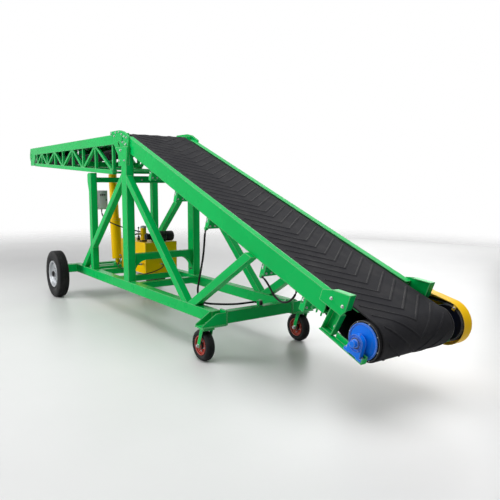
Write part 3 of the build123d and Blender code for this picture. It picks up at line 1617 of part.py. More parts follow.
front_y, front_z = front_port
front_tip_x = tank_front_x + port_length
hose_rest_z = rail_top_z + lift_hose_d / 2
port_reach = lift_barrel_r + port_length
port_x = lift_base_x + (lift_run_x * lift_port_at + lift_run_z * port_reach) / lift_length
port_z = lift_base_z + (lift_run_z * lift_port_at - lift_run_x * port_reach) / lift_length
lead_in_x = lift_run_z / lift_length
lead_in_z = -lift_run_x / lift_length
cord(
    [
        (front_tip_x, front_y, front_z),
        (front_tip_x + 70, front_y, front_z),
        (front_tip_x + 144, front_y - 38, front_z - 14),
        (front_tip_x + 184, front_y - 105, front_z - 36),
        (front_tip_x + 184, front_y - 183, front_z - 62),
        (front_tip_x + 146, front_y - 250, front_z - 88),
        (front_tip_x + 80, tank_left_y - 66, hose_rest_z + 18),
        (front_tip_x + 4, tank_left_y - 69, hose_rest_z + 8),
        (cross_x[2], tank_left_y - 69, hose_rest_z + 6),
        (cross_x[2] - 86, tank_left_y - 70, hose_rest_z + 1),
        (cross_x[2] - 186, tank_left_y - 70, hose_rest_z - 9),
        (cross_x[2] - 300, tank_left_y - 69, hose_rest_z - 16),
        (cross_x[2] - 420, tank_left_y - 69, hose_rest_z - 17),
        (cross_x[2] - 540, tank_left_y - 68, hose_rest_z - 11),
        (cross_x[1] + 90, tank_left_y - 67, hose_rest_z),
        (cross_x[1] + 25, tank_left_y - 67, hose_rest_z + 6),
        (cross_x[1] - 25, tank_left_y - 65, hose_rest_z + 11),
        (port_x + 223, tank_left_y - 51, port_z - 116),
        (port_x + 189, tank_left_y - 25, port_z - 91),
        (port_x + 163, tank_left_y + 7, port_z - 59),
        (port_x + 139, -44, port_z - 27),
        (port_x + 109, -17, port_z - 3),
        (port_x + 73, -3, port_z + 7),
        (port_x + 36 * lead_in_x, 0, port_z + 36 * lead_in_z),
        (port_x, 0, port_z),
    ],
    lift_hose_d, "hose_lift",
)
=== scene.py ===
"""Truck loading conveyor: finishes, belt, tyres, hoses and fittings around the fixed CAD frame."""

import json
from bisect import bisect_right
from math import asin, atan2, ceil, cos, hypot, pi, radians, sin, tan

import bmesh
import bpy
from mathutils import Matrix, Vector


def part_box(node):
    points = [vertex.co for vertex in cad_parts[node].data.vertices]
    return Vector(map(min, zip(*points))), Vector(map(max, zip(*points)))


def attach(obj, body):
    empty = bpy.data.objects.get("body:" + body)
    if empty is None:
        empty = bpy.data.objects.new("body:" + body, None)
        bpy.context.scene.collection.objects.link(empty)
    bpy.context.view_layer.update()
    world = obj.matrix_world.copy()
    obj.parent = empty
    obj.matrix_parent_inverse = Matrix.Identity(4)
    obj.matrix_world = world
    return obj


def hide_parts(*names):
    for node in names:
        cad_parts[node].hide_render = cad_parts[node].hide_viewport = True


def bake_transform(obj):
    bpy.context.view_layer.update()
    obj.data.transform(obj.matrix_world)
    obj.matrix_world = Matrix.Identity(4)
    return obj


bl_info = {
    "name": "Truck Loading Conveyor",
    "version": (1, 0, 0),
    "blender": (4, 5, 0),
    "location": "3D View > Sidebar > Conveyor",
    "description": "Dresses the CAD frame of a mobile truck loading conveyor",
    "category": "Object",
}

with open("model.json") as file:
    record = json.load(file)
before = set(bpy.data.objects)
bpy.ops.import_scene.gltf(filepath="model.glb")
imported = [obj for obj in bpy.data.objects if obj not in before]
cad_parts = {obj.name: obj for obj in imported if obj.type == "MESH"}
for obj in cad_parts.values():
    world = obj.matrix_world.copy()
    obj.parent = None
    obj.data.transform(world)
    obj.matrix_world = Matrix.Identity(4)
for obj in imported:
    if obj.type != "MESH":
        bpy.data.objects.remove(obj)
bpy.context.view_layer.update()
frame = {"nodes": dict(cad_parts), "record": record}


def linear(hex_code):
    """Linear RGB of an sRGB hex colour."""
    shares = [int(hex_code[at:at + 2], 16) / 255 for at in (1, 3, 5)]
    return [share / 12.92 if share <= 0.04045 else ((share + 0.055) / 1.055) ** 2.4 for share in shares]


def colour_property(label, hex_code, description):
    """A colour that a user may change, with an sRGB hex default."""
    return bpy.props.FloatVectorProperty(
        name=label, description=description, subtype="COLOR", size=3, min=0, max=1, default=linear(hex_code)
    )


def length_property(label, millimetres, description):
    """A length that a user may change, with its default in millimetres."""
    return bpy.props.FloatProperty(
        name=label, description=description, unit="LENGTH", default=millimetres / 1000
    )


class ConveyorColours(bpy.types.PropertyGroup):
    """Paint and rubber colours."""

    green: colour_property("Frame green", "#02B355", "Enamel of the frame, boom and posts")
    yellow: colour_property("Guard yellow", "#FFC502", "Enamel of the drive guard, tank and lift cylinder")
    blue: colour_property("Bearing blue", "#0B72E4", "Enamel of the tail bearings and end discs")
    red: colour_property("Castor red", "#A52A14", "Paint of the castor rims")
    silver: colour_property("Rim silver", "#B9BCC0", "Wheel paint of the road rims")
    grey: colour_property("Cabinet grey", "#C4C7C6", "Powder coat of the control box")
    black: colour_property("Fitting black", "#141416", "Satin paint of pulleys and motors")
    belt: colour_property("Belt charcoal", "#232326", "Rubber of the belt")
    tyre: colour_property("Tyre black", "#161618", "Rubber of the tyres")
    hose: colour_property("Hose black", "#0B0B0C", "Rubber of hoses and cables")


class ConveyorSizes(bpy.types.PropertyGroup):
    """Sizes of the pieces that are modelled here."""

    belt_thickness: length_property("Belt thickness", 12, "Thickness of the belt without its ridges")
    ridge_pitch: length_property("Ridge pitch", 132, "Distance from one chevron to the next")
    ridge_height: length_property("Ridge height", 6, "Height of a chevron above the belt")
    ridge_width: length_property("Ridge width", 24, "Width of a chevron at its foot")
    ridge_reach: length_property("Ridge reach", 345, "Half width of the chevron pattern")
    ridge_rake: bpy.props.FloatProperty(
        name="Ridge rake", description="Angle of a chevron arm from square across the belt",
        unit="ROTATION", subtype="ANGLE", default=radians(37.5),
    )
    groove_depth: length_property("Tread groove", 9, "Depth of the road tyres' grooves")
    groove_width: length_property("Groove width", 8, "Width of the road tyres' grooves")


def add_node(tree, kind, settings=None, inputs=None):
    """Adds a shader node, sets its options, and links or sets its inputs."""
    node = tree.nodes.new(kind)
    for name, value in (settings or {}).items():
        setattr(node, name, value)
    for socket, value in (inputs or {}).items():
        if isinstance(value, bpy.types.NodeSocket):
            tree.links.new(value, node.inputs[socket])
        else:
            node.inputs[socket].default_value = value
    return node


def per_metre(millimetres):
    """Texture scale that gives a pattern of that size."""
    return 1000 / millimetres


def new_material(name):
    """An empty node material, with its surface output and its object coordinates."""
    material = bpy.data.materials.new(name)
    material.use_nodes = True
    tree = material.node_tree
    tree.nodes.clear()
    output = add_node(tree, "ShaderNodeOutputMaterial")
    return material, tree, output, add_node(tree, "ShaderNodeTexCoord").outputs["Object"]


def shaded(colour, share):
    """A colour scaled in brightness, as RGBA."""
    return [min(1, channel * share) for channel in colour] + [1]


def edge_share(tree, radius, most):
    """Normals rounded near edges by a radius, and how far each point counts as an edge, up to a share."""
    rounded = add_node(tree, "ShaderNodeBevel", {"samples": 4}, {"Radius": radius})
    flat = add_node(tree, "ShaderNodeNewGeometry")
    turned = add_node(
        tree, "ShaderNodeVectorMath", {"operation": "DOT_PRODUCT"},
        {0: rounded.outputs["Normal"], 1: flat.outputs["Normal"]},
    )
    flat_cosine, edge_cosine = 0.995, 0.86
    share = add_node(
        tree, "ShaderNodeMapRange", None,
        {
            "Value": turned.outputs["Value"], "From Min": flat_cosine, "From Max": edge_cosine,
            "To Min": 0.0, "To Max": most,
        },
    )
    return rounded.outputs["Normal"], share.outputs["Result"]


def enamel(name, colour, roughness, coat, metallic=0.0):
    """Gloss enamel sprayed over welded steel.

    Arrises are mixed towards a paler tint, a painted highlight for the light that rounded edges catch.
    Faint orange peel and a slow drift in film thickness keep flat sides from looking like plastic.
    """
    material, tree, output, place = new_material(name)
    drift = add_node(
        tree, "ShaderNodeTexNoise", None, {"Vector": place, "Scale": per_metre(420), "Detail": 3.0}
    )
    film = add_node(
        tree, "ShaderNodeMix", {"data_type": "RGBA"},
        {"Factor": drift.outputs["Fac"], 6: shaded(colour, 0.86), 7: shaded(colour, 1.1)},
    )
    # Orange peel is about 2 mm across, drawn at 9 mm so that it shows at this distance.
    peel = add_node(
        tree, "ShaderNodeTexNoise", None, {"Vector": place, "Scale": per_metre(9), "Detail": 2.0}
    )
    # Painted highlight: edges within the bevel radius are mixed towards a paler tint of the paint.
    rounded, highlight_share = edge_share(tree, 0.012, 0.6)
    pale = [0.36 + 0.64 * channel for channel in colour] + [1]
    edge_highlighted = add_node(
        tree, "ShaderNodeMix", {"data_type": "RGBA"}, {"Factor": highlight_share, 6: film.outputs[2], 7: pale}
    )
    bump = add_node(
        tree, "ShaderNodeBump", None,
        {"Height": peel.outputs["Fac"], "Strength": 0.25, "Distance": 0.0004, "Normal": rounded},
    )
    gloss = add_node(
        tree, "ShaderNodeMapRange", None,
        {"Value": drift.outputs["Fac"], "To Min": roughness - 0.06, "To Max": roughness + 0.08},
    )
    surface = add_node(
        tree, "ShaderNodeBsdfPrincipled", None,
        {
            "Base Color": edge_highlighted.outputs[2], "Roughness": gloss.outputs["Result"], "Metallic": metallic,
            "Specular IOR Level": 0.05, "Coat Weight": coat, "Coat Roughness": 0.08,
            "Normal": bump.outputs["Normal"],
        },
    )
    tree.links.new(surface.outputs["BSDF"], output.inputs["Surface"])
    return material


def turned_steel(name):
    """Mild steel shafts and drums, turned on a lathe.

    Fine rings round the axis break the reflection into a soft band, and handling leaves dull patches.
    """
    material, tree, output, place = new_material(name)
    patches = add_node(
        tree, "ShaderNodeTexNoise", None, {"Vector": place, "Scale": per_metre(90), "Detail": 4.0}
    )
    # Tool marks are about 0.3 mm apart, drawn at 4 mm so that they show.
    rings = add_node(
        tree, "ShaderNodeTexWave", {"wave_type": "BANDS", "bands_direction": "Y"},
        {"Vector": place, "Scale": per_metre(4) / 20, "Distortion": 1.5},
    )
    tint = add_node(
        tree, "ShaderNodeMix", {"data_type": "RGBA"},
        {"Factor": patches.outputs["Fac"], 6: [*linear("#8E9092"), 1], 7: [*linear("#CBCDCE"), 1]},
    )
    gloss = add_node(
        tree, "ShaderNodeMapRange", None, {"Value": patches.outputs["Fac"], "To Min": 0.28, "To Max": 0.5}
    )
    bump = add_node(
        tree, "ShaderNodeBump", None, {"Height": rings.outputs["Fac"], "Strength": 0.15, "Distance": 0.0002}
    )
    surface = add_node(
        tree, "ShaderNodeBsdfPrincipled", None,
        {
            "Base Color": tint.outputs[2], "Metallic": 1.0, "Roughness": gloss.outputs["Result"],
            "Normal": bump.outputs["Normal"],
        },
    )
    tree.links.new(surface.outputs["BSDF"], output.inputs["Surface"])
    return material


def moulded_rubber(name, colour, roughness, shine, grain, dust, rib_highlight):
    """Vulcanised black rubber from a mould.

    A fine grain dulls the highlight and pale dust sits in a broken film where the surface is worked. Rib
    edges on their side towards the boom, where the window light comes from, are mixed towards the same pale
    colour as a painted highlight.
    """
    material, tree, output, place = new_material(name)
    film = add_node(
        tree, "ShaderNodeTexNoise", None, {"Vector": place, "Scale": per_metre(160), "Detail": 6.0}
    )
    speck = add_node(
        tree, "ShaderNodeTexNoise", None, {"Vector": place, "Scale": per_metre(grain), "Detail": 2.0}
    )
    amount = add_node(
        tree, "ShaderNodeMapRange", None,
        {"Value": film.outputs["Fac"], "From Min": 0.45, "From Max": 0.8, "To Min": 0.0, "To Max": dust},
    )
    pale = [*linear("#8C8A86"), 1]
    dusted = add_node(
        tree, "ShaderNodeMix", {"data_type": "RGBA"},
        {"Factor": amount.outputs["Result"], 6: [*colour, 1], 7: pale},
    )
    # Painted highlight: rib edges turned towards the boom, the side the light comes from, are mixed towards
    # the pale dust colour.
    rounded, edge = edge_share(tree, 0.006, rib_highlight)
    facing = add_node(tree, "ShaderNodeSeparateXYZ", None, {0: rounded})
    towards_window_light = add_node(
        tree, "ShaderNodeMapRange", None,
        {"Value": facing.outputs["X"], "From Min": 0.25, "From Max": -0.1, "To Min": 0.0, "To Max": 1.0},
    )
    rib_highlight_share = add_node(
        tree, "ShaderNodeMath", {"operation": "MULTIPLY"}, {0: edge, 1: towards_window_light.outputs["Result"]}
    )
    rib_highlighted = add_node(
        tree, "ShaderNodeMix", {"data_type": "RGBA"},
        {"Factor": rib_highlight_share.outputs["Value"], 6: dusted.outputs[2], 7: pale},
    )
    gloss = add_node(
        tree, "ShaderNodeMapRange", None,
        {"Value": speck.outputs["Fac"], "To Min": roughness - 0.1, "To Max": roughness + 0.1},
    )
    bump = add_node(
        tree, "ShaderNodeBump", None,
        {"Height": speck.outputs["Fac"], "Strength": 0.3, "Distance": 0.0006, "Normal": rounded},
    )
    surface = add_node(
        tree, "ShaderNodeBsdfPrincipled", None,
        {
            "Base Color": rib_highlighted.outputs[2], "Roughness": gloss.outputs["Result"], "IOR": 1.52,
            "Specular IOR Level": shine, "Normal": bump.outputs["Normal"],
        },
    )
    tree.links.new(surface.outputs["BSDF"], output.inputs["Surface"])
    return material


def make_finishes(colours):
    """One material for each slot of the record."""
    return {
        "green_paint": enamel("green_gloss_enamel", colours.green, 0.26, 0.04),
        "yellow_paint": enamel("yellow_gloss_enamel", colours.yellow, 0.3, 0.06),
        "blue_paint": enamel("blue_gloss_enamel", colours.blue, 0.28, 0.1),
        "red_paint": enamel("red_satin_enamel", colours.red, 0.4, 0.1),
        "silver_paint": enamel("aluminium_wheel_paint", colours.silver, 0.36, 0.2, metallic=0.55),
        "grey_paint": enamel("grey_powder_coat", colours.grey, 0.5, 0.0),
        "black_paint": enamel("black_satin_enamel", colours.black, 0.42, 0.1),
        "steel": turned_steel("turned_mild_steel"),
        # The belt's last figure is the share of painted highlight on its rib edges.
        "belt_rubber": moulded_rubber("belt_cover_rubber", colours.belt, 0.7, 0.08, 7, 0.05, 0.45),
        "tyre_rubber": moulded_rubber("tyre_tread_rubber", colours.tyre, 0.62, 0.14, 5, 0.08, 0.0),
        "hose_rubber": moulded_rubber("hose_cover_rubber", colours.hose, 0.45, 0.14, 4, 0.02, 0.0),
    }


finishes = {}


def add_piece(name, mesh, slot, body=None):
    """Puts a mesh in the scene with its finish, riding on a body where one is given."""
    piece = bpy.data.objects.new(name, mesh)
    bpy.context.scene.collection.objects.link(piece)
    mesh.materials.append(finishes[slot])
    if body:
        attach(piece, body)
    return piece


def square_to(line):
    """Three unit directions: along a line, and two square to it."""
    out = Vector(line).normalized()
    across = out.orthogonal().normalized()
    return out, across, out.cross(across)


def circle(middle, across, upward, radius, sides):
    """Points evenly round a circle."""
    angles = [2 * pi * side / sides for side in range(sides)]
    return [middle + (across * cos(angle) + upward * sin(angle)) * radius for angle in angles]


class Form:
    """Closed shapes put together into one piece.

    Sizes of profiles, rings, bolts and beads are in millimetres.
    """

    def __init__(self):
        self.mesh = bmesh.new()

    def skin(self, rings, closed=False):
        """Joins rings of points with faces, and caps the ends unless the rings close on themselves."""
        loops = [[self.mesh.verts.new(point) for point in ring] for ring in rings]
        for here, there in zip(loops, loops[1:] + loops[:1] if closed else loops[1:]):
            for index in range(len(here)):
                after = (index + 1) % len(here)
                self.mesh.faces.new((here[index], here[after], there[after], there[index]))
        if not closed:
            self.mesh.faces.new(loops[0])
            self.mesh.faces.new(loops[-1])

    def turned(self, at, line, profile, sides=24):
        """Adds a shape turned about a line from a point. The profile's columns are (height, radius)."""
        out, across, upward = square_to(line)
        self.skin([
            circle(Vector(at) + out * height / 1000, across, upward, radius / 1000, sides)
            for height, radius in profile
        ])

    def turned_ring(self, at, line, inner, outer, height):
        """Adds a raised ring with eased lips on a face."""
        lip = min(height, outer - inner) / 4
        profile = (
            (0, inner), (height - lip, inner), (height, inner + lip), (height, outer - lip),
            (height - lip, outer), (0, outer),
        )
        out, across, upward = square_to(line)
        self.skin([
            [Vector(at) + (out * rise + spoke * radius) / 1000 for rise, radius in profile]
            for spoke in circle(Vector(), across, upward, 1, 40)
        ], closed=True)

    def bolt(self, at, line, flats):
        """Adds a hexagon head and its washer on a face, by the width across the flats."""
        washer = flats * 0.13
        corner = flats / 2 / cos(pi / 6)
        crown = flats * 0.66
        self.turned(at, line, ((0, flats * 0.72), (washer * 0.8, flats * 0.72), (washer, flats * 0.68)), 20)
        self.turned(at, line, ((washer, corner), (crown * 0.84, corner), (crown, corner * 0.84)), 6)

    def block(self, middle, size, turn=None, ease=0.0015):
        """Adds a box with eased edges, in metres."""
        place = Matrix.LocRotScale(Vector(middle), turn, Vector(size))
        corners = bmesh.ops.create_cube(self.mesh, size=1, matrix=place)["verts"]
        edges = list({edge for corner in corners for edge in corner.link_edges})
        bmesh.ops.bevel(self.mesh, geom=edges, offset=ease, segments=2, profile=0.5, affect="EDGES")

    def bead(self, start, end, radius):
        """Adds a weld bead between two points, with the ripples of its runs 9 mm apart."""
        start = Vector(start)
        run = Vector(end) - start
        out, across, upward = square_to(run)
        steps = max(4, round(run.length / 0.009) * 2)
        rings = []
        for step in range(steps + 1):
            swell = 0.55 if step in (0, steps) else 1.0 if step % 2 else 0.86
            rings.append(circle(start + run * step / steps, across, upward, radius / 1000 * swell, 8))
        self.skin(rings)

    def place(self, name, slot, body="chassis", sharp=35):
        """Puts the piece in the scene, riding on a body, and smooth except at edges over an angle."""
        bmesh.ops.recalc_face_normals(self.mesh, faces=self.mesh.faces)
        mesh = bpy.data.meshes.new(name)
        self.mesh.to_mesh(mesh)
        self.mesh.free()
        if sharp:
            mesh.shade_smooth()
            mesh.set_sharp_from_angle(angle=radians(sharp))
        return add_piece(name, mesh, slot, body)


def node_middle(node):
    """Middle of a CAD node's box."""
    low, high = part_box(node)
    return (low + high) / 2


def drum_radius(node):
    """Radius of a round node lying across the machine."""
    low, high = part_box(node)
    return (high.z - low.z) / 2


def half_width(node):
    """Half the width of a node across the machine."""
    low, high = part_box(node)
    return (high.y - low.y) / 2


class CONVEYOR_OT_finishes(bpy.types.Operator):
    """Gives each CAD node the finish of its slot"""

    bl_idname = "conveyor.finishes"
    bl_label = "Finishes"

    def execute(self, context):
        finishes.update(make_finishes(context.scene.conveyor_colours))
        for row in frame["record"]["subparts"]:
            node = frame["nodes"][row["node"]]
            node.data.materials.clear()
            node.data.materials.append(finishes[row["material_slot"]])
        return {"FINISHED"}


class Wheel:
    """A drum or roller that the belt's middle line goes round, in side view."""

    def __init__(self, node, radius):
        middle = node_middle(node)
        self.x = middle.x
        self.z = middle.z
        self.radius = radius


def snub_roller(outer):
    """The last return roller, which presses the belt up behind the tail drum."""
    roller = Wheel("return_rollers", 0)
    corners = frame["nodes"]["return_rollers"].data.vertices
    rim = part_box("return_rollers")[1].x
    reach = 0.15
    heights = [corner.co.z for corner in corners if corner.co.x > rim - reach]
    radius = (max(heights) - min(heights)) / 2
    roller.x = rim - radius
    roller.z = min(heights) + radius
    roller.radius = -(radius + outer)
    return roller


def belt_wheels(sizes):
    """The wheels round the belt's loop. A radius below zero is a roller that presses on the outer face."""
    half = sizes.belt_thickness / 2
    outer = half + sizes.ridge_height
    return [
        Wheel("crest_roller", drum_radius("crest_roller") + half),
        Wheel("tail_drum", drum_radius("tail_drum") + half),
        snub_roller(outer),
        Wheel("bend_roller", -(drum_radius("bend_roller") + outer)),
        Wheel("head_drum", drum_radius("head_drum") + half),
    ]


def station(wheel, heading):
    """Where the belt runs on a wheel in a heading, as (x, z, out_x, out_z) with the way out of the loop."""
    out_x, out_z = -sin(heading), cos(heading)
    return wheel.x + out_x * wheel.radius, wheel.z + out_z * wheel.radius, out_x, out_z


def belt_stations(wheels, step):
    """Stations of the belt's middle line at about even steps, closer round the wheels."""
    following = wheels[1:] + wheels[:1]
    headings = []
    for here, there in zip(wheels, following):
        run = hypot(there.x - here.x, there.z - here.z)
        lean = asin((there.radius - here.radius) / run)
        headings.append(atan2(there.z - here.z, there.x - here.x) + lean)
    stations = []
    for index, (here, there) in enumerate(zip(wheels, following)):
        arrive, leave = headings[index - 1], headings[index]
        turn = (leave - arrive + pi) % (2 * pi) - pi
        if here.radius > 0 and turn > 0:
            turn -= 2 * pi
        steps = max(2, ceil(abs(turn * here.radius) / step * 2))
        stations += [station(here, arrive + turn * share / steps) for share in range(steps)]
        start, end = station(here, leave), station(there, leave)
        runs = ceil(hypot(end[0] - start[0], end[1] - start[1]) / step)
        for share in range(runs):
            stations.append(tuple(a + (b - a) * share / runs for a, b in zip(start, end)))
    return stations


class BeltLine:
    """The belt's middle line, read by distance along the loop."""

    def __init__(self, stations):
        self.stations = stations
        self.marks = [0.0]
        for here, there in zip(stations, stations[1:] + stations[:1]):
            self.marks.append(self.marks[-1] + hypot(there[0] - here[0], there[1] - here[1]))
        self.length = self.marks[-1]

    def at(self, distance, across, above):
        """Point at a distance along the loop, across the belt and above its middle line."""
        distance %= self.length
        index = bisect_right(self.marks, distance) - 1
        here = self.stations[index]
        there = self.stations[(index + 1) % len(self.stations)]
        part = (distance - self.marks[index]) / (self.marks[index + 1] - self.marks[index])
        x, z, out_x, out_z = (a + (b - a) * part for a, b in zip(here, there))
        return Vector((x + out_x * above, across, z + out_z * above))


def belt_section(half_width, thickness):
    """The flat belt's section with eased edges, as (across, above)."""
    ease = thickness / 5
    half = thickness / 2
    wide = half_width - ease
    edge = half - ease
    return (
        (-wide, -half), (wide, -half), (half_width, -edge), (half_width, edge),
        (wide, half), (-wide, half), (-half_width, edge), (-half_width, -edge),
    )


def add_ridges(belt, line, sizes):
    """Adds chevron ridges with sloping flanks, moulded on the outer face."""
    count = round(line.length / sizes.ridge_pitch)
    pitch = line.length / count
    foot = sizes.ridge_width / 2 / cos(sizes.ridge_rake)
    crown = foot * 0.35
    base = sizes.belt_thickness / 2 - sizes.ridge_height / 4
    top = sizes.belt_thickness / 2 + sizes.ridge_height
    spans = 16
    for chevron in range(count):
        rings = []
        for span in range(spans + 1):
            across = sizes.ridge_reach * (2 * span / spans - 1)
            lead = chevron * pitch + (sizes.ridge_reach - abs(across)) * tan(sizes.ridge_rake)
            rings.append([
                line.at(lead + shift, across, above)
                for shift, above in ((-foot, base), (-crown, top), (crown, top), (foot, base))
            ])
        belt.skin(rings)


class CONVEYOR_OT_belt(bpy.types.Operator):
    """Makes the chevron belt as one loop that bends over the crest"""

    bl_idname = "conveyor.belt"
    bl_label = "Belt"

    def execute(self, context):
        sizes = context.scene.conveyor_sizes
        step = 0.04
        line = BeltLine(belt_stations(belt_wheels(sizes), step))
        section = belt_section(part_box("incline_belt")[1].y, sizes.belt_thickness)
        loop = Form()
        loop.skin([
            [(x + out_x * above, across, z + out_z * above) for across, above in section]
            for x, z, out_x, out_z in line.stations
        ], closed=True)
        add_ridges(loop, line, sizes)
        belt = loop.place("chevron_belt", "belt_rubber", None, 0)
        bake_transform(belt)
        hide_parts("incline_belt", "boom_belt")
        return {"FINISHED"}


def spun_tyre(node, profile, tread, segments, zigzag):
    """A tyre in a node's place, turned from a closed (across, radius) profile.

    The places of the profile that belong to the tread sway across by the zigzag.
    """
    middle = node_middle(node)
    rings = []
    for segment in range(segments):
        angle = 2 * pi * segment / segments
        sway = zigzag if segment % 4 < 2 else -zigzag
        ring = []
        for place, (across, radius) in enumerate(profile):
            y = middle.y + across + (sway if place in tread else 0)
            ring.append((middle.x + radius * sin(angle), y, middle.z + radius * cos(angle)))
        rings.append(ring)
    tyre = Form()
    tyre.skin(rings, closed=True)
    return tyre


def grooves(shares, half, outer, fall, lip, floor, depth):
    """Tread grooves of a profile at shares of its half width, each with its lips and its narrower floor.

    The tread is lower by the fall towards its sides.
    """
    points = []
    for share in shares:
        middle = half * share
        top = outer - fall * abs(share)
        low = top - depth
        points += [(middle - lip, top), (middle - floor, low), (middle + floor, low), (middle + lip, top)]
    return points


def road_sidewall(half, inner, outer):
    """Bead, bulged side and round shoulder of a road tyre, as (across, radius)."""
    deep = outer - inner
    return [
        (-half * 0.62, inner), (-half * 0.62 - 0.006, inner + 0.012), (-half * 0.9, inner + deep * 0.22),
        (-half, inner + deep * 0.48), (-half * 0.97, inner + deep * 0.7), (-half * 0.9, outer - 0.026),
        (-half * 0.86, outer - 0.012), (-half * 0.78, outer - 0.005),
    ]


def castor_sidewall(half, inner, outer):
    """Bead and rounded side of a castor tyre, as (across, radius)."""
    points = [(-half * 0.7, inner)]
    for degrees in (0, 18, 36, 54):
        rise = 0.42 + 0.58 * sin(radians(degrees)) ** 0.7
        points.append((-half * cos(radians(degrees)), inner + (outer - inner) * rise))
    return points


class CONVEYOR_OT_tyres(bpy.types.Operator):
    """Makes the ribbed tyres of the road wheels and the rounded tyres of the castors"""

    bl_idname = "conveyor.tyres"
    bl_label = "Tyres"

    def execute(self, context):
        sizes = context.scene.conveyor_sizes
        width = sizes.groove_width
        road_groove = (width / 2, width * 0.3, sizes.groove_depth)
        castor_groove = (0.003, 0.0015, 0.006)
        road_shares, castor_shares = (-0.54, -0.18, 0.18, 0.54), (-0.36, 0.0, 0.36)
        # Wheel, look, side's section, grooves' shares, tread's fall, groove, segments, zigzag
        kinds = (
            ("road", "ribbed", road_sidewall, road_shares, 0.004, road_groove, 180, width * 0.35),
            ("castor", "round", castor_sidewall, castor_shares, 0.002, castor_groove, 120, 0.0025),
        )
        for wheel, look, sidewall, shares, fall, groove, segments, zigzag in kinds:
            for side in ("left", "right"):
                node = f"{wheel}_tyre_{side}"
                outer = drum_radius(node)
                half = half_width(node)
                left = sidewall(half, drum_radius(f"{wheel}_rim_{side}"), outer)
                right = [(-across, radius) for across, radius in reversed(left)]
                tread = grooves(shares, half, outer, fall, *groove)
                places = range(len(left), len(left) + len(tread))
                tyre = spun_tyre(node, left + tread + right, places, segments, zigzag)
                piece = tyre.place(f"{look}_{node}", "tyre_rubber", f"{wheel}_wheel_{side}", 40)
                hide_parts(node)
        return {"FINISHED"}


# Routes of the cords in metres: name, diameter, length, stiffness, lay, points
CORDS = (
    ("cable_loop", 0.012, 0.534, "medium", "hanging", (
        (3.0375, -0.4860, 0.9300), (3.0655, -0.4860, 0.9192), (3.1038, -0.4830, 0.8906),
        (3.1420, -0.4780, 0.8449), (3.1814, -0.4720, 0.7912), (3.2387, -0.4650, 0.7563),
        (3.3009, -0.4580, 0.7453), (3.3637, -0.4520, 0.7640), (3.4104, -0.4470, 0.8018),
        (3.4381, -0.4445, 0.8405), (3.4485, -0.4445, 0.8675),
    )),
    ("cable_trailer", 0.014, 1.492, "medium", "hanging", (
        (2.1021, -0.4860, 1.2751), (2.0863, -0.4860, 1.2340), (2.0721, -0.4820, 1.1731),
        (2.0501, -0.4750, 1.0911), (2.0181, -0.4660, 1.0011), (1.9781, -0.4580, 0.9111),
        (1.9361, -0.4510, 0.8191), (1.8981, -0.4450, 0.7271), (1.8580, -0.4380, 0.6490),
        (1.8520, -0.4360, 0.6010), (1.8630, -0.4340, 0.5580), (1.8920, -0.4340, 0.5240),
        (1.9320, -0.4340, 0.5050), (1.9700, -0.4320, 0.5050), (2.0040, -0.4140, 0.5020),
        (2.0320, -0.3800, 0.4980), (2.0640, -0.3220, 0.4930), (2.1010, -0.2540, 0.4890),
        (2.1380, -0.1880, 0.4880), (2.1700, -0.1220, 0.4900), (2.2020, -0.0620, 0.4970),
        (2.2300, -0.0270, 0.5040), (2.2610, -0.0070, 0.5110), (2.2980, 0.0000, 0.5160),
        (2.3340, 0.0000, 0.5160),
    )),
    ("cable_pump", 0.012, 0.968, "medium", "hanging", (
        (-0.9980, -0.3600, 1.3320), (-0.9980, -0.3600, 1.2960), (-0.9840, -0.3490, 1.2500),
        (-0.9500, -0.3210, 1.2040), (-0.8940, -0.2760, 1.1620), (-0.8180, -0.2140, 1.1240),
        (-0.7300, -0.1430, 1.0910), (-0.6380, -0.0680, 1.0640), (-0.5460, 0.0090, 1.0420),
        (-0.4680, 0.0680, 1.0200), (-0.4060, 0.1060, 1.0020), (-0.3530, 0.1220, 0.9910),
        (-0.3130, 0.1220, 0.9910),
    )),
    ("hose_return", 0.018, 0.635, "stiff", "hanging", (
        (-0.3680, -0.0740, 1.0240), (-0.3680, -0.1200, 1.0240), (-0.3660, -0.1670, 1.0050),
        (-0.3600, -0.2030, 0.9700), (-0.3460, -0.2250, 0.9240), (-0.3220, -0.2400, 0.8650),
        (-0.2920, -0.2520, 0.8000), (-0.2620, -0.2600, 0.7380), (-0.2360, -0.2550, 0.6920),
        (-0.2160, -0.2340, 0.6560), (-0.2060, -0.1990, 0.6300), (-0.2030, -0.1550, 0.6200),
        (-0.2030, -0.1130, 0.6200),
    )),
    ("hose_lift", 0.014, 1.751, "stiff", "loose", (
        (-0.1160, 0.1400, 0.6140), (-0.0460, 0.1400, 0.6140), (0.0280, 0.1020, 0.6000),
        (0.0680, 0.0350, 0.5780), (0.0680, -0.0430, 0.5520), (0.0300, -0.1100, 0.5260),
        (-0.0360, -0.1490, 0.5070), (-0.1120, -0.1520, 0.4970), (-0.1900, -0.1520, 0.4950),
        (-0.2760, -0.1530, 0.4900), (-0.3760, -0.1530, 0.4800), (-0.4900, -0.1520, 0.4730),
        (-0.6100, -0.1520, 0.4720), (-0.7300, -0.1510, 0.4780), (-0.8400, -0.1500, 0.4890),
        (-0.9050, -0.1500, 0.4950), (-0.9550, -0.1480, 0.5000), (-1.0006, -0.1340, 0.5131),
        (-1.0346, -0.1080, 0.5381), (-1.0606, -0.0760, 0.5701), (-1.0846, -0.0440, 0.6021),
        (-1.1146, -0.0170, 0.6261), (-1.1506, -0.0030, 0.6361), (-1.1877, 0.0000, 0.6322),
        (-1.2236, 0.0000, 0.6291),
    )),
)


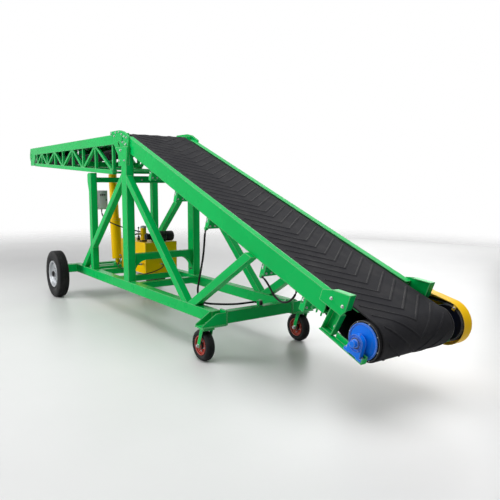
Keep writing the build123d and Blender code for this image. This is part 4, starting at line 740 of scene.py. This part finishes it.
def cord_end(diameter, is_hose):
    """Profiles in millimetres of a cord's end, with their sides: a hose's nut and crimp, or a gland."""
    if not is_hose:
        gland = ((0, diameter * 0.8), (8, diameter * 0.8), (12, diameter * 0.7), (26, diameter * 0.54))
        return [(gland, 24)]
    nut = diameter * 0.85
    crimp = [(nut, diameter * 0.62)]
    for ring in range(4):
        foot = nut + 1 + ring * 6
        crimp += [(foot, diameter * 0.68), (foot + 4, diameter * 0.68)]
        crimp += [(foot + 4.5, diameter * 0.63), (foot + 5.5, diameter * 0.63)]
    return [(((0, nut), (nut * 0.9, nut), (nut, nut * 0.9)), 6), (crimp, 24)]


def read_route(line):
    """Points along a curve that has no thickness yet."""
    holder = bpy.data.objects.new("route", line)
    mesh = bpy.data.meshes.new_from_object(holder)
    points = [corner.co.copy() for corner in mesh.vertices]
    bpy.data.meshes.remove(mesh)
    bpy.data.objects.remove(holder)
    return points


def conduit_sleeve(name, points, radius):
    """A ribbed conduit over a cable, which follows its line and stops short of the glands."""
    short = 0.032
    inside = [
        index for index, point in enumerate(points)
        if (point - points[0]).length > short and (point - points[-1]).length > short
    ]
    rings = []
    across = None
    for index in range(inside[0], inside[-1] + 1):
        out = (points[index + 1] - points[index - 1]).normalized()
        if across is None:
            across = out.orthogonal()
        across = (across - out * across.dot(out)).normalized()
        swell = radius if index % 2 else radius * 0.84
        rings.append(circle(points[index], across, out.cross(across), swell, 14))
    sleeve = Form()
    sleeve.skin(rings)
    return sleeve.place(f"{name}_conduit", "hose_rubber")


class CONVEYOR_OT_cords(bpy.types.Operator):
    """Lays the cables in their conduits and the hydraulic hoses, with their glands and crimped ends"""

    bl_idname = "conveyor.cords"
    bl_label = "Cables and hoses"

    def execute(self, context):
        for name, diameter, length, stiffness, lay, route in CORDS:
            line = bpy.data.curves.new(f"{name}_line", "CURVE")
            line.dimensions = "3D"
            spline = line.splines.new("NURBS")
            spline.points.add(len(route) - 1)
            for spot, place in zip(spline.points, route):
                spot.co = (*place, 1)
            spline.order_u = 3
            spline.use_endpoint_u = True
            spline.resolution_u = 10
            points = read_route(line)
            line.bevel_depth = diameter / 2
            line.bevel_resolution = 4
            line.use_fill_caps = True
            is_hose = name.startswith("hose")
            ends = Form()
            for start, after in ((route[0], route[1]), (route[-1], route[-2])):
                for profile, sides in cord_end(diameter * 1000, is_hose):
                    ends.turned(start, Vector(after) - Vector(start), profile, sides)
            on_cord = [ends.place(f"{name}_ends", "steel" if is_hose else "black_paint")]
            if not is_hose:
                on_cord.append(conduit_sleeve(name, points, diameter * 0.82))
            tube = add_piece(name + "_tube", line, "hose_rubber", "chassis")
            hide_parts(name)
        return {"FINISHED"}


# Places on the incline in millimetres, along it from the hinge and square above it
TAIL_AXIS = (4398, -91)
MOTOR_AXIS = (3449.8, -241.2)
RETURN_ROLLERS = (847, 1497, 2196, 3180, 3748)
RAIL_BOTTOM = -98


def slope_lean():
    """Fall of the incline, which touches the crest roller and the tail drum."""
    hinge = node_middle("hinge_shaft")
    tail = node_middle("tail_drum")
    drop = drum_radius("tail_drum") - drum_radius("crest_roller")
    fall = hinge.z - tail.z
    run = tail.x - hinge.x
    return atan2(fall, run) - asin(drop / hypot(fall, run))


def slope_point(along, above, across):
    """Point given in millimetres along the incline, square above it, and across the machine."""
    lean = slope_lean()
    hinge = node_middle("hinge_shaft")
    x = hinge.x + (along * cos(lean) + above * sin(lean)) / 1000
    z = hinge.z + (-along * sin(lean) + above * cos(lean)) / 1000
    return Vector((x, across / 1000, z))


def side_circle(middle, radius, count, first=0.0, sweep=2 * pi):
    """Points round a circle in side view, its radius in millimetres, from an angle above x."""
    angles = [first + sweep * index / count for index in range(count)]
    return [Vector(middle) + Vector((cos(angle), 0, sin(angle))) * radius / 1000 for angle in angles]


def tail_bearing_trim():
    """Adds the tail bearings' screws, grease nipples, rings and shaft end, black seal discs that double as
    painted shade round the shaft, and the drum's screws.
    """
    screws = Form()
    seal_shade = Form()
    rim = Form()
    lean = slope_lean()
    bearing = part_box("tail_bearings")[1].y * 1000
    drum_end = 436
    screw_circle, rim_circle, ring_radii = 55, 143.5, (46, 64.5)
    housing_top, housing_middle = TAIL_AXIS[1] + 61, bearing - 22
    up = (sin(lean), 0, cos(lean))
    for side in (-1, 1):
        out = (0, side, 0)
        boss = slope_point(*TAIL_AXIS, side * (bearing - 0.5))
        face = slope_point(*TAIL_AXIS, side * (bearing - 3))
        for spot in side_circle(face, screw_circle, 4, pi / 4 - lean):
            screws.bolt(spot, out, 9)
        nipple = slope_point(TAIL_AXIS[0], housing_top, side * housing_middle)
        screws.turned(nipple, up, ((0, 5), (6, 5), (7, 3), (14, 3), (16, 4.2), (19, 2)), 12)
        for outer in ring_radii:
            screws.turned_ring(boss, out, outer - 5, outer, 5)
        # A black seal disc round the shaft, whose darkness also serves as painted shade round the hub.
        seal_shade.turned(boss, out, ((0, 41), (2, 41), (3, 39), (3, 30)), 36)
        for spot in side_circle(slope_point(*TAIL_AXIS, side * drum_end), rim_circle, 8, -lean):
            rim.turned(spot, out, ((0, 4.5), (1.5, 4.5), (3, 3)), 10)
    shaft_end = slope_point(*TAIL_AXIS, -bearing)
    screws.turned(shaft_end, (0, -1, 0), ((0, 34), (6, 34), (8, 26.2), (36.5, 26.2), (37, 24)), 32)
    screws.place("bearing_screws", "blue_paint")
    seal_shade.place("bearing_seal_shade", "black_paint")
    rim.place("drum_rim_screws", "steel")


class CONVEYOR_OT_frame_bolts(bpy.types.Operator):
    """Adds the plated bolts of the knuckles, brackets and beams, the take-up studs and the bearing trim"""

    bl_idname = "conveyor.frame_bolts"
    bl_label = "Frame bolts"

    def execute(self, context):
        plated = Form()
        studs = Form()
        lean = slope_lean()
        ahead = Vector((cos(lean), 0, -sin(lean)))
        up = Vector((sin(lean), 0, cos(lean)))
        hinge_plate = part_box("knuckle_plates")[1].y * 1000
        plate_step = 6
        plate = hinge_plate - plate_step
        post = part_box("main_posts")[1].y * 1000
        beam_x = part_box("main_portal_beam")[1].x * 1000
        # Bolts in side view, in millimetres: x, z, face, width across flats
        on_frame = (
            (-219, 2376, plate, 17), (-69, 2372, plate, 17), (31, 2372, plate, 17), (121, 2340, plate, 19),
            (191, 2310, plate, 19), (262, 2288, plate, 19), (-116, 2330, plate, 17),
            (163, 2237, hinge_plate, 19), (247, 2207, hinge_plate, 19),
            (131, 2140, post, 24), (236, 2010, post, 19), (90, 2010, post, 19),
        )
        # Bolts of the tail brackets, in millimetres: along, above, face
        on_brackets = ((4042, 67, 491), (4166, 69, 491), (4118, -144, 439))
        shield_front, shield_above, shield_across = 42, -174, (395, 450)
        foot_shift, foot_above, foot_across = 80, -176, 490
        portal_z, portal_across = 1776, (110, 300)
        studs_along, flange_across = (3846, 3900, 3954), 446
        for side in (-1, 1):
            out = (0, side, 0)
            for x, z, face, flats in on_frame:
                plated.bolt(Vector((x, side * face, z)) / 1000, out, flats)
            for along, above, face in on_brackets:
                plated.bolt(slope_point(along, above, side * face), out, 19)
            for along in RETURN_ROLLERS:
                for across in shield_across:
                    spot = slope_point(along + shield_front, shield_above, side * across)
                    plated.bolt(spot, ahead, 15)
            for shift in (-foot_shift, foot_shift):
                plated.bolt(slope_point(TAIL_AXIS[0] + shift, foot_above, side * foot_across), up, 16)
            for across in portal_across:
                plated.bolt(Vector((beam_x, side * across, portal_z)) / 1000, (1, 0, 0), 19)
            for along in studs_along:
                flange = slope_point(along, RAIL_BOTTOM, side * flange_across)
                studs.bolt(flange, -up, 22)
                studs.turned(flange, -up, ((10, 7.5), (50, 7.5), (53, 6)), 16)
        plated.place("plated_bolts", "steel")
        studs.place("takeup_studs", "green_paint")
        tail_bearing_trim()
        return {"FINISHED"}


class CONVEYOR_OT_wheel_fittings(bpy.types.Operator):
    """Adds hub nuts, grease caps, valves and castor axle bolts"""

    bl_idname = "conveyor.wheel_fittings"
    bl_label = "Wheel fittings"

    def execute(self, context):
        dish, hub_end = 0.0275, 0.055
        stud_circle, valve_circle, nut_circle = 82, 158, 56
        sleeve_inner, sleeve_outer, sleeve_gap = 34.2, 39, 3
        stem_back = 0.045
        for side, sign in (("left", -1), ("right", 1)):
            out = Vector((0, sign, 0))
            middle = node_middle(f"road_rim_{side}")
            hub = Form()
            for spot in side_circle(middle + out * dish, stud_circle, 6, pi / 2):
                hub.bolt(spot, out, 21)
                hub.turned(spot, out, ((12, 6), (23, 6), (25, 4)), 12)
            valve = side_circle(middle + out * dish, valve_circle, 1, pi / 2 - 0.5)[0]
            hub.turned(valve, out, ((0, 6.5), (12, 5), (26, 4), (30, 4.5), (36, 4.5)), 12)
            hub.place(f"hub_nuts_{side}", "steel", f"road_wheel_{side}")
            cap = Form()
            cap_profile = ((0, 48), (4, 48), (5, 43), (14, 43), (20, 40), (24, 34), (26, 20))
            cap.turned(middle + out * hub_end, out, cap_profile, 32)
            cap.place(f"grease_cap_{side}", "black_paint", f"road_wheel_{side}")

            axle = node_middle(f"castor_rim_{side}")
            low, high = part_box(f"castor_fork_{side}")
            bolts = Form()
            bolts.bolt((axle.x, high.y, axle.z), (0, 1, 0), 28)
            bolts.bolt((axle.x, low.y, axle.z), (0, -1, 0), 28)
            bolts.bolt((high.x - stem_back, axle.y, high.z), (0, 0, 1), 30)
            bolts.place(f"castor_bolts_{side}", "steel", f"castor_fork_{side}")

            web = half_width(f"castor_tyre_{side}") / 2
            nuts = Form()
            # A black sleeve round the castor hub: painted shade for the shadow in the middle of the rim.
            sleeve = Form()
            for face in (-1, 1):
                flange = axle + Vector((0, face * web, 0))
                for spot in side_circle(flange, nut_circle, 5, pi / 2 - pi / 5):
                    nuts.bolt(spot, (0, face, 0), 12)
                height = web * 1000 - sleeve_gap
                sleeve.turned_ring(flange, (0, face, 0), sleeve_inner, sleeve_outer, height)
            nuts.place(f"castor_nuts_{side}", "steel", f"castor_wheel_{side}")
            sleeve.place(f"castor_hub_sleeve_{side}", "black_paint", f"castor_wheel_{side}")
        return {"FINISHED"}


def cooling_fins(form, axis, ends, angles, reach, size, ease):
    """Adds fins between two ends of a motor that lies across the machine, by thickness and depth."""
    thickness, depth = size
    for angle in angles:
        spoke = Vector((sin(angle), 0, cos(angle)))
        turn = Matrix.Rotation(angle, 3, "Y").to_quaternion()
        middle = Vector((axis.x, sum(ends) / 2, axis.z)) + spoke * reach
        form.block(middle, (thickness, ends[1] - ends[0], depth), turn, ease)


class CONVEYOR_OT_power_pack(bpy.types.Operator):
    """Dresses the hydraulic unit: motor fins, cowl, filler cap, level glass and valve lever"""

    bl_idname = "conveyor.power_pack"
    bl_label = "Power pack"

    def execute(self, context):
        upward = (0, 0, 1)
        along_y = (0, 1, 0)
        motor = Form()
        low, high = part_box("pump_motor")
        frame_radius, fin_reach, fin_size = 0.062, 0.0655, (0.0035, 0.013)
        flange_inset, fin_start, fin_stop, cowl_lap = 0.1, 0.02, 0.05, 0.046
        axis = Vector((high.x - frame_radius, 0, high.z - frame_radius))
        flange_y = low.y + flange_inset
        angles = [radians(-120 + 240 * fin / 25) for fin in range(26)]
        fin_ends = (flange_y + fin_start, high.y - fin_stop)
        cooling_fins(motor, axis, fin_ends, angles, fin_reach, fin_size, 0.0008)
        cowl = axis + Vector((0, high.y - cowl_lap, 0))
        motor.turned(cowl, along_y, ((0, 70.5), (116, 70.5), (124, 66), (126, 58)), 36)
        flange = axis + Vector((0, flange_y, 0))
        motor.turned(flange, along_y, ((0, 66), (3, 70), (15, 70), (18, 66)), 36)
        motor.place("pump_motor_fins", "black_paint")

        tank_low, tank_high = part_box("hydraulic_tank")
        tank_top = 0.914
        filler = (tank_low.x + 0.16, tank_high.y - 0.12, tank_top)
        filter_foot = Vector((-0.368, -0.004, tank_top))
        fittings = Form()
        fittings.turned(filler, upward, ((0, 40), (12, 40), (14, 34), (30, 34), (33, 30)), 18)
        fittings.turned(filter_foot, upward, ((0, 50), (16, 50), (20, 43)), 32)
        level_glass = (-0.60, tank_low.y + 0.025, 0.72)
        fittings.block(level_glass, (0.036, 0.016, 0.15), None, 0.003)
        fittings.place("tank_fittings", "black_paint")
        cap = Form()
        filter_top = filter_foot + Vector((0, 0, 0.212))
        cap.turned(filter_top, upward, ((-20, 42.5), (-4, 42.5), (4, 38), (9, 26), (11, 10)), 32)
        cap.place("filter_cap", "grey_paint")

        lever = Form()
        valve = Vector((-0.599, 0.029, tank_top))
        lever.turned(valve, upward, ((0, 22), (30, 22), (34, 15), (60, 15)), 20)
        knob = ((0, 6), (130, 5), (135, 11), (155, 11), (160, 5))
        lever_foot, lever_line = valve + Vector((0, 0, 0.05)), (0.45, -0.2, 1)
        lever.turned(lever_foot, lever_line, knob, 16)
        lever.place("valve_lever", "black_paint")
        return {"FINISHED"}


class CONVEYOR_OT_control_trim(bpy.types.Operator):
    """Adds the control box door with its lock and push buttons, and the trailer socket's cover"""

    bl_idname = "conveyor.control_trim"
    bl_label = "Control trim"

    def execute(self, context):
        out = (1, 0, 0)
        low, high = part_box("control_box")
        box_height, margin, pin_out = 0.27, 0.014, 0.004
        lock_across, buttons_across, buttons_above = 0.055, (-0.03, 0.0, 0.03), 0.075
        low_z = high.z - box_height
        middle = Vector((high.x, (low.y + high.y) / 2, (low_z + high.z) / 2))
        door = Form()
        size = (0.006, high.y - low.y - margin, box_height - margin)
        door.block(middle + Vector((0.002, 0, 0)), size, None, 0.0025)
        for hinge_z in (low_z + 0.03, high.z - 0.07):
            pin = (high.x + pin_out, low.y + pin_out, hinge_z)
            door.turned(pin, (0, 0, 1), ((0, 5), (40, 5)), 16)
        door.place("control_box_door", "grey_paint")
        buttons = Form()
        door_face = middle + Vector((0.005, 0, 0))
        buttons.turned(door_face + Vector((0, lock_across, 0)), out, ((0, 11), (5, 11), (7, 9)))
        for across in buttons_across:
            spot = door_face + Vector((0, across, buttons_above))
            buttons.turned(spot, out, ((0, 12), (6, 12), (8, 9), (16, 9), (18, 7)))
        buttons.place("control_buttons", "black_paint")

        beam_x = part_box("front_beam")[1].x
        socket_spot = (beam_x - 0.010, 0, 0.516)
        flap_hinge = (beam_x - 0.008, 0, 0.541)
        socket = Form()
        socket.turned(socket_spot, out, ((0, 21), (6, 21), (7, 19), (10, 19), (12, 16)), 28)
        socket.block(flap_hinge, (0.012, 0.026, 0.008))
        socket.place("trailer_socket_cover", "black_paint")
        return {"FINISHED"}


class CONVEYOR_OT_drive_trim(bpy.types.Operator):
    """Adds the drive motor's fins and cowl, the guard's screws and pressings, and the head bearings"""

    bl_idname = "conveyor.drive_trim"
    bl_label = "Drive and head trim"

    def execute(self, context):
        axis = slope_point(*MOTOR_AXIS, 0)
        tail = slope_point(*TAIL_AXIS, 0)
        fan_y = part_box("drive_motor")[0].y
        fin_start, fin_stop, fin_reach, cowl_back = 0.06, 0.08, 0.096, 0.052
        fins = Form()
        fin_ends = (fan_y + fin_start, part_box("incline_rails")[1].y - fin_stop)
        angles = [2 * pi * fin / 30 for fin in range(30)]
        cooling_fins(fins, axis, fin_ends, angles, fin_reach, (0.004, 0.014), 0.001)
        cowl = axis + Vector((0, fan_y + cowl_back, 0))
        fins.turned(cowl, (0, -1, 0), ((0, 104), (45, 104), (51, 98), (51.5, 30)), 40)
        fins.place("drive_motor_fins", "grey_paint")

        face = Vector((0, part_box("drive_guard")[1].y, 0))
        tab_y, tab_circle, screw_circle = 0.526, 158, 165
        guard = Form()
        screws = Form()
        # Centre, radius of the pressing, angle of the first screw
        for centre, radius, first in ((tail, 120, -90), (axis, 90, 90)):
            pressing = ((0, radius), (3, radius - 4), (5, radius - 12), (5, radius - 30), (2, radius - 36))
            guard.turned(centre + face, (0, 1, 0), pressing, 48)
            for spot in side_circle(centre + face, screw_circle, 5, radians(first), radians(225)):
                screws.bolt(spot, (0, 1, 0), 13)
        for angle in (59, 150):
            turn = Matrix.Rotation(radians(-angle), 3, "Y").to_quaternion()
            tab = side_circle((tail.x, tab_y, tail.z), tab_circle, 1, radians(angle))[0]
            guard.block(tab, (0.05, 0.008, 0.026), turn, 0.002)
            screws.bolt(tab - Vector((0, 0.004, 0)), (0, -1, 0), 13)
        guard.place("guard_pressings", "yellow_paint")
        screws.place("guard_screws", "steel")

        head = node_middle("head_drum")
        plate_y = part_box("head_plates")[1].y
        foot, bearing_circle = 0.006, 47
        bearings = Form()
        for side in (-1, 1):
            out = Vector((0, side, 0))
            spot = Vector((head.x, side * plate_y, head.z))
            bearings.turned(spot, out, ((0, 56), (6, 56), (8, 40), (11, 37), (11, 28), (9, 26)), 36)
            for screw in side_circle(spot + out * foot, bearing_circle, 4, pi / 4):
                bearings.bolt(screw, out, 9)
        bearings.place("head_bearings", "green_paint", "boom")
        return {"FINISHED"}


class CONVEYOR_OT_weld_beads(bpy.types.Operator):
    """Runs weld beads round the feet of the posts, braces and struts, and along the cross members"""

    bl_idname = "conveyor.weld_beads"
    bl_label = "Weld beads"

    def execute(self, context):
        beads = Form()
        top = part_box("main_posts")[0].z
        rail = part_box("chassis_rails")[1].y - 0.003
        # Feet on the rail's top, in metres: x from, x to, inner face
        posts = ((0.136, 0.286, 0.425), (-1.043, -0.953, 0.435))
        braces = ((-1.445, -1.323, 0.445), (1.655, 1.777, 0.445), (1.779, 1.941, 0.445))
        members = (-1.645, -0.930, -0.190, 0.376)
        member_half, member_y, member_depth = 0.04, 0.425, 0.08
        for side in (-1, 1):
            for x_from, x_to, inner in posts + braces:
                for y in (side * inner, side * rail):
                    beads.bead((x_from, y, top), (x_to, y, top), 5)
            for x_from, x_to, inner in posts:
                for x in (x_from, x_to):
                    beads.bead((x, side * inner, top), (x, side * rail, top), 5)
            for middle in members:
                y = side * member_y
                left, right = middle - member_half, middle + member_half
                for x in (left, right):
                    beads.bead((x, y, top - member_depth), (x, y, top), 4.5)
                beads.bead((left, y - side * 0.001, top), (right, y - side * 0.001, top), 4.5)
        beads.place("weld_beads", "green_paint")
        return {"FINISHED"}


def add_area_light(name, place, aim, size, power):
    """A soft square lamp aimed at a point."""
    lamp = bpy.data.lights.new(name, "AREA")
    lamp.size = size
    lamp.energy = power
    holder = bpy.data.objects.new(name, lamp)
    holder.location = place
    holder.rotation_euler = (Vector(aim) - Vector(place)).to_track_quat("-Z", "Y").to_euler()
    bpy.context.scene.collection.objects.link(holder)


def floor_paint():
    """Pale epoxy floor paint, rolled on.

    Satin enough for a blurred reflection under the wheels, and it fades out into the backdrop far away.
    """
    material, tree, output, place = new_material("pale_epoxy_floor")
    cloud = add_node(
        tree, "ShaderNodeTexNoise", None, {"Vector": place, "Scale": per_metre(1500), "Detail": 4.0}
    )
    tint = add_node(
        tree, "ShaderNodeMix", {"data_type": "RGBA"},
        {"Factor": cloud.outputs["Fac"], 6: [*linear("#D2D3D3"), 1], 7: [*linear("#DEDEDE"), 1]},
    )
    paint = add_node(
        tree, "ShaderNodeBsdfPrincipled", None,
        {"Base Color": tint.outputs[2], "Roughness": 0.38, "Specular IOR Level": 0.35},
    )
    far = add_node(tree, "ShaderNodeVectorMath", {"operation": "LENGTH"}, {0: place})
    fade = add_node(
        tree, "ShaderNodeMapRange", {"interpolation_type": "SMOOTHSTEP"},
        {"Value": far.outputs["Value"], "From Min": 5.0, "From Max": 15.0},
    )
    gone = add_node(tree, "ShaderNodeBsdfTransparent")
    mixed = add_node(
        tree, "ShaderNodeMixShader", None,
        {"Fac": fade.outputs["Result"], 1: paint.outputs["BSDF"], 2: gone.outputs["BSDF"]},
    )
    tree.links.new(mixed.outputs["Shader"], output.inputs["Surface"])
    return material


def studio_world():
    """Even soft light, with a white backdrop for what the camera and reflections see."""
    world = bpy.data.worlds.new("studio")
    world.use_nodes = True
    tree = world.node_tree
    tree.nodes.clear()
    ray = add_node(tree, "ShaderNodeLightPath")
    mirror = add_node(
        tree, "ShaderNodeMath", {"operation": "MAXIMUM"},
        {0: ray.outputs["Is Glossy Ray"], 1: ray.outputs["Is Transmission Ray"]},
    )
    seen = add_node(
        tree, "ShaderNodeMath", {"operation": "MAXIMUM"},
        {0: ray.outputs["Is Camera Ray"], 1: mirror.outputs["Value"]},
    )
    # The backdrop is darker past the loading end, so that faces turned that way keep their depth.
    place = add_node(tree, "ShaderNodeTexCoord").outputs["Generated"]
    split = add_node(tree, "ShaderNodeSeparateXYZ", None, {"Vector": place})
    dimmed = add_node(
        tree, "ShaderNodeMapRange", {"interpolation_type": "SMOOTHSTEP"},
        {"Value": split.outputs["X"], "From Min": 0.1, "From Max": 0.8, "To Min": 1.0, "To Max": 0.5},
    )
    white = (1, 1, 1, 1)
    light = add_node(tree, "ShaderNodeBackground", None, {"Color": white, "Strength": 0.08})
    backdrop = add_node(
        tree, "ShaderNodeBackground", None, {"Color": white, "Strength": dimmed.outputs["Result"]}
    )
    mixed = add_node(
        tree, "ShaderNodeMixShader", None,
        {"Fac": seen.outputs["Value"], 1: light.outputs["Background"], 2: backdrop.outputs["Background"]},
    )
    output = add_node(tree, "ShaderNodeOutputWorld")
    tree.links.new(mixed.outputs["Shader"], output.inputs["Surface"])
    bpy.context.scene.world = world


class CONVEYOR_OT_stage(bpy.types.Operator):
    """Sets up the camera, floor and soft studio light"""

    bl_idname = "conveyor.stage"
    bl_label = "Stage"

    def execute(self, context):
        scene = context.scene
        scene.view_settings.view_transform = "Standard"
        eye = Matrix.Translation((6.864, -3.386, 1.746))
        yaw = Matrix.Rotation(radians(54.11), 4, "Z")
        pitch = Matrix.Rotation(radians(90 - 6.9), 4, "X")
        roll = Matrix.Rotation(radians(0.19), 4, "Z")
        lens = bpy.data.cameras.new("photo_angle")
        lens.sensor_width = 36
        lens.lens = 40.3
        holder = bpy.data.objects.new("photo_angle", lens)
        holder.matrix_world = eye @ yaw @ pitch @ roll
        scene.collection.objects.link(holder)
        scene.camera = holder

        half = 30.0
        sheet = bpy.data.meshes.new("floor")
        corners = [(-half, -half, 0), (half, -half, 0), (half, half, 0), (-half, half, 0)]
        sheet.from_pydata(corners, [], [(0, 1, 2, 3)])
        sheet.materials.append(floor_paint())
        ground = bpy.data.objects.new("floor", sheet)
        scene.collection.objects.link(ground)

        studio_world()
        add_area_light("window_light", (-3.5, -9.0, 4.5), (0.5, 0, 1.0), 6.0, 800)
        add_area_light("roof_light", (3.8, -0.5, 7.5), (2.5, 0, 0.8), 8.0, 680)
        add_area_light("far_side_light", (-4.0, 9.0, 4.0), (-0.5, 0, 1.0), 6.0, 320)
        return {"FINISHED"}


class CONVEYOR_PT_sidebar(bpy.types.Panel):
    """Lists the conveyor's pieces and settings"""

    bl_idname = "CONVEYOR_PT_sidebar"
    bl_label = "Truck Loading Conveyor"
    bl_space_type = "VIEW_3D"
    bl_region_type = "UI"
    bl_category = "Conveyor"

    def draw(self, context):
        for operator in OPERATORS:
            self.layout.operator(operator.bl_idname)
        for group in (context.scene.conveyor_colours, context.scene.conveyor_sizes):
            for name in group.__annotations__:
                self.layout.prop(group, name)


OPERATORS = (
    CONVEYOR_OT_stage,
    CONVEYOR_OT_finishes,
    CONVEYOR_OT_belt,
    CONVEYOR_OT_tyres,
    CONVEYOR_OT_cords,
    CONVEYOR_OT_frame_bolts,
    CONVEYOR_OT_wheel_fittings,
    CONVEYOR_OT_power_pack,
    CONVEYOR_OT_control_trim,
    CONVEYOR_OT_drive_trim,
    CONVEYOR_OT_weld_beads,
)
CLASSES = (ConveyorColours, ConveyorSizes, *OPERATORS, CONVEYOR_PT_sidebar)


def register():
    """Makes the classes and settings known to Blender."""
    for known in CLASSES:
        bpy.utils.register_class(known)
    bpy.types.Scene.conveyor_colours = bpy.props.PointerProperty(type=ConveyorColours)
    bpy.types.Scene.conveyor_sizes = bpy.props.PointerProperty(type=ConveyorSizes)


def unregister():
    """Takes the settings and classes out again."""
    del bpy.types.Scene.conveyor_sizes
    del bpy.types.Scene.conveyor_colours
    for known in reversed(CLASSES):
        bpy.utils.unregister_class(known)


def main():
    register()
    bpy.ops.conveyor.stage()
    bpy.ops.conveyor.finishes()
    bpy.ops.conveyor.belt()
    bpy.ops.conveyor.tyres()
    bpy.ops.conveyor.cords()
    bpy.ops.conveyor.frame_bolts()
    bpy.ops.conveyor.wheel_fittings()
    bpy.ops.conveyor.power_pack()
    bpy.ops.conveyor.control_trim()
    bpy.ops.conveyor.drive_trim()
    bpy.ops.conveyor.weld_beads()


if __name__ == "__main__":
    main()
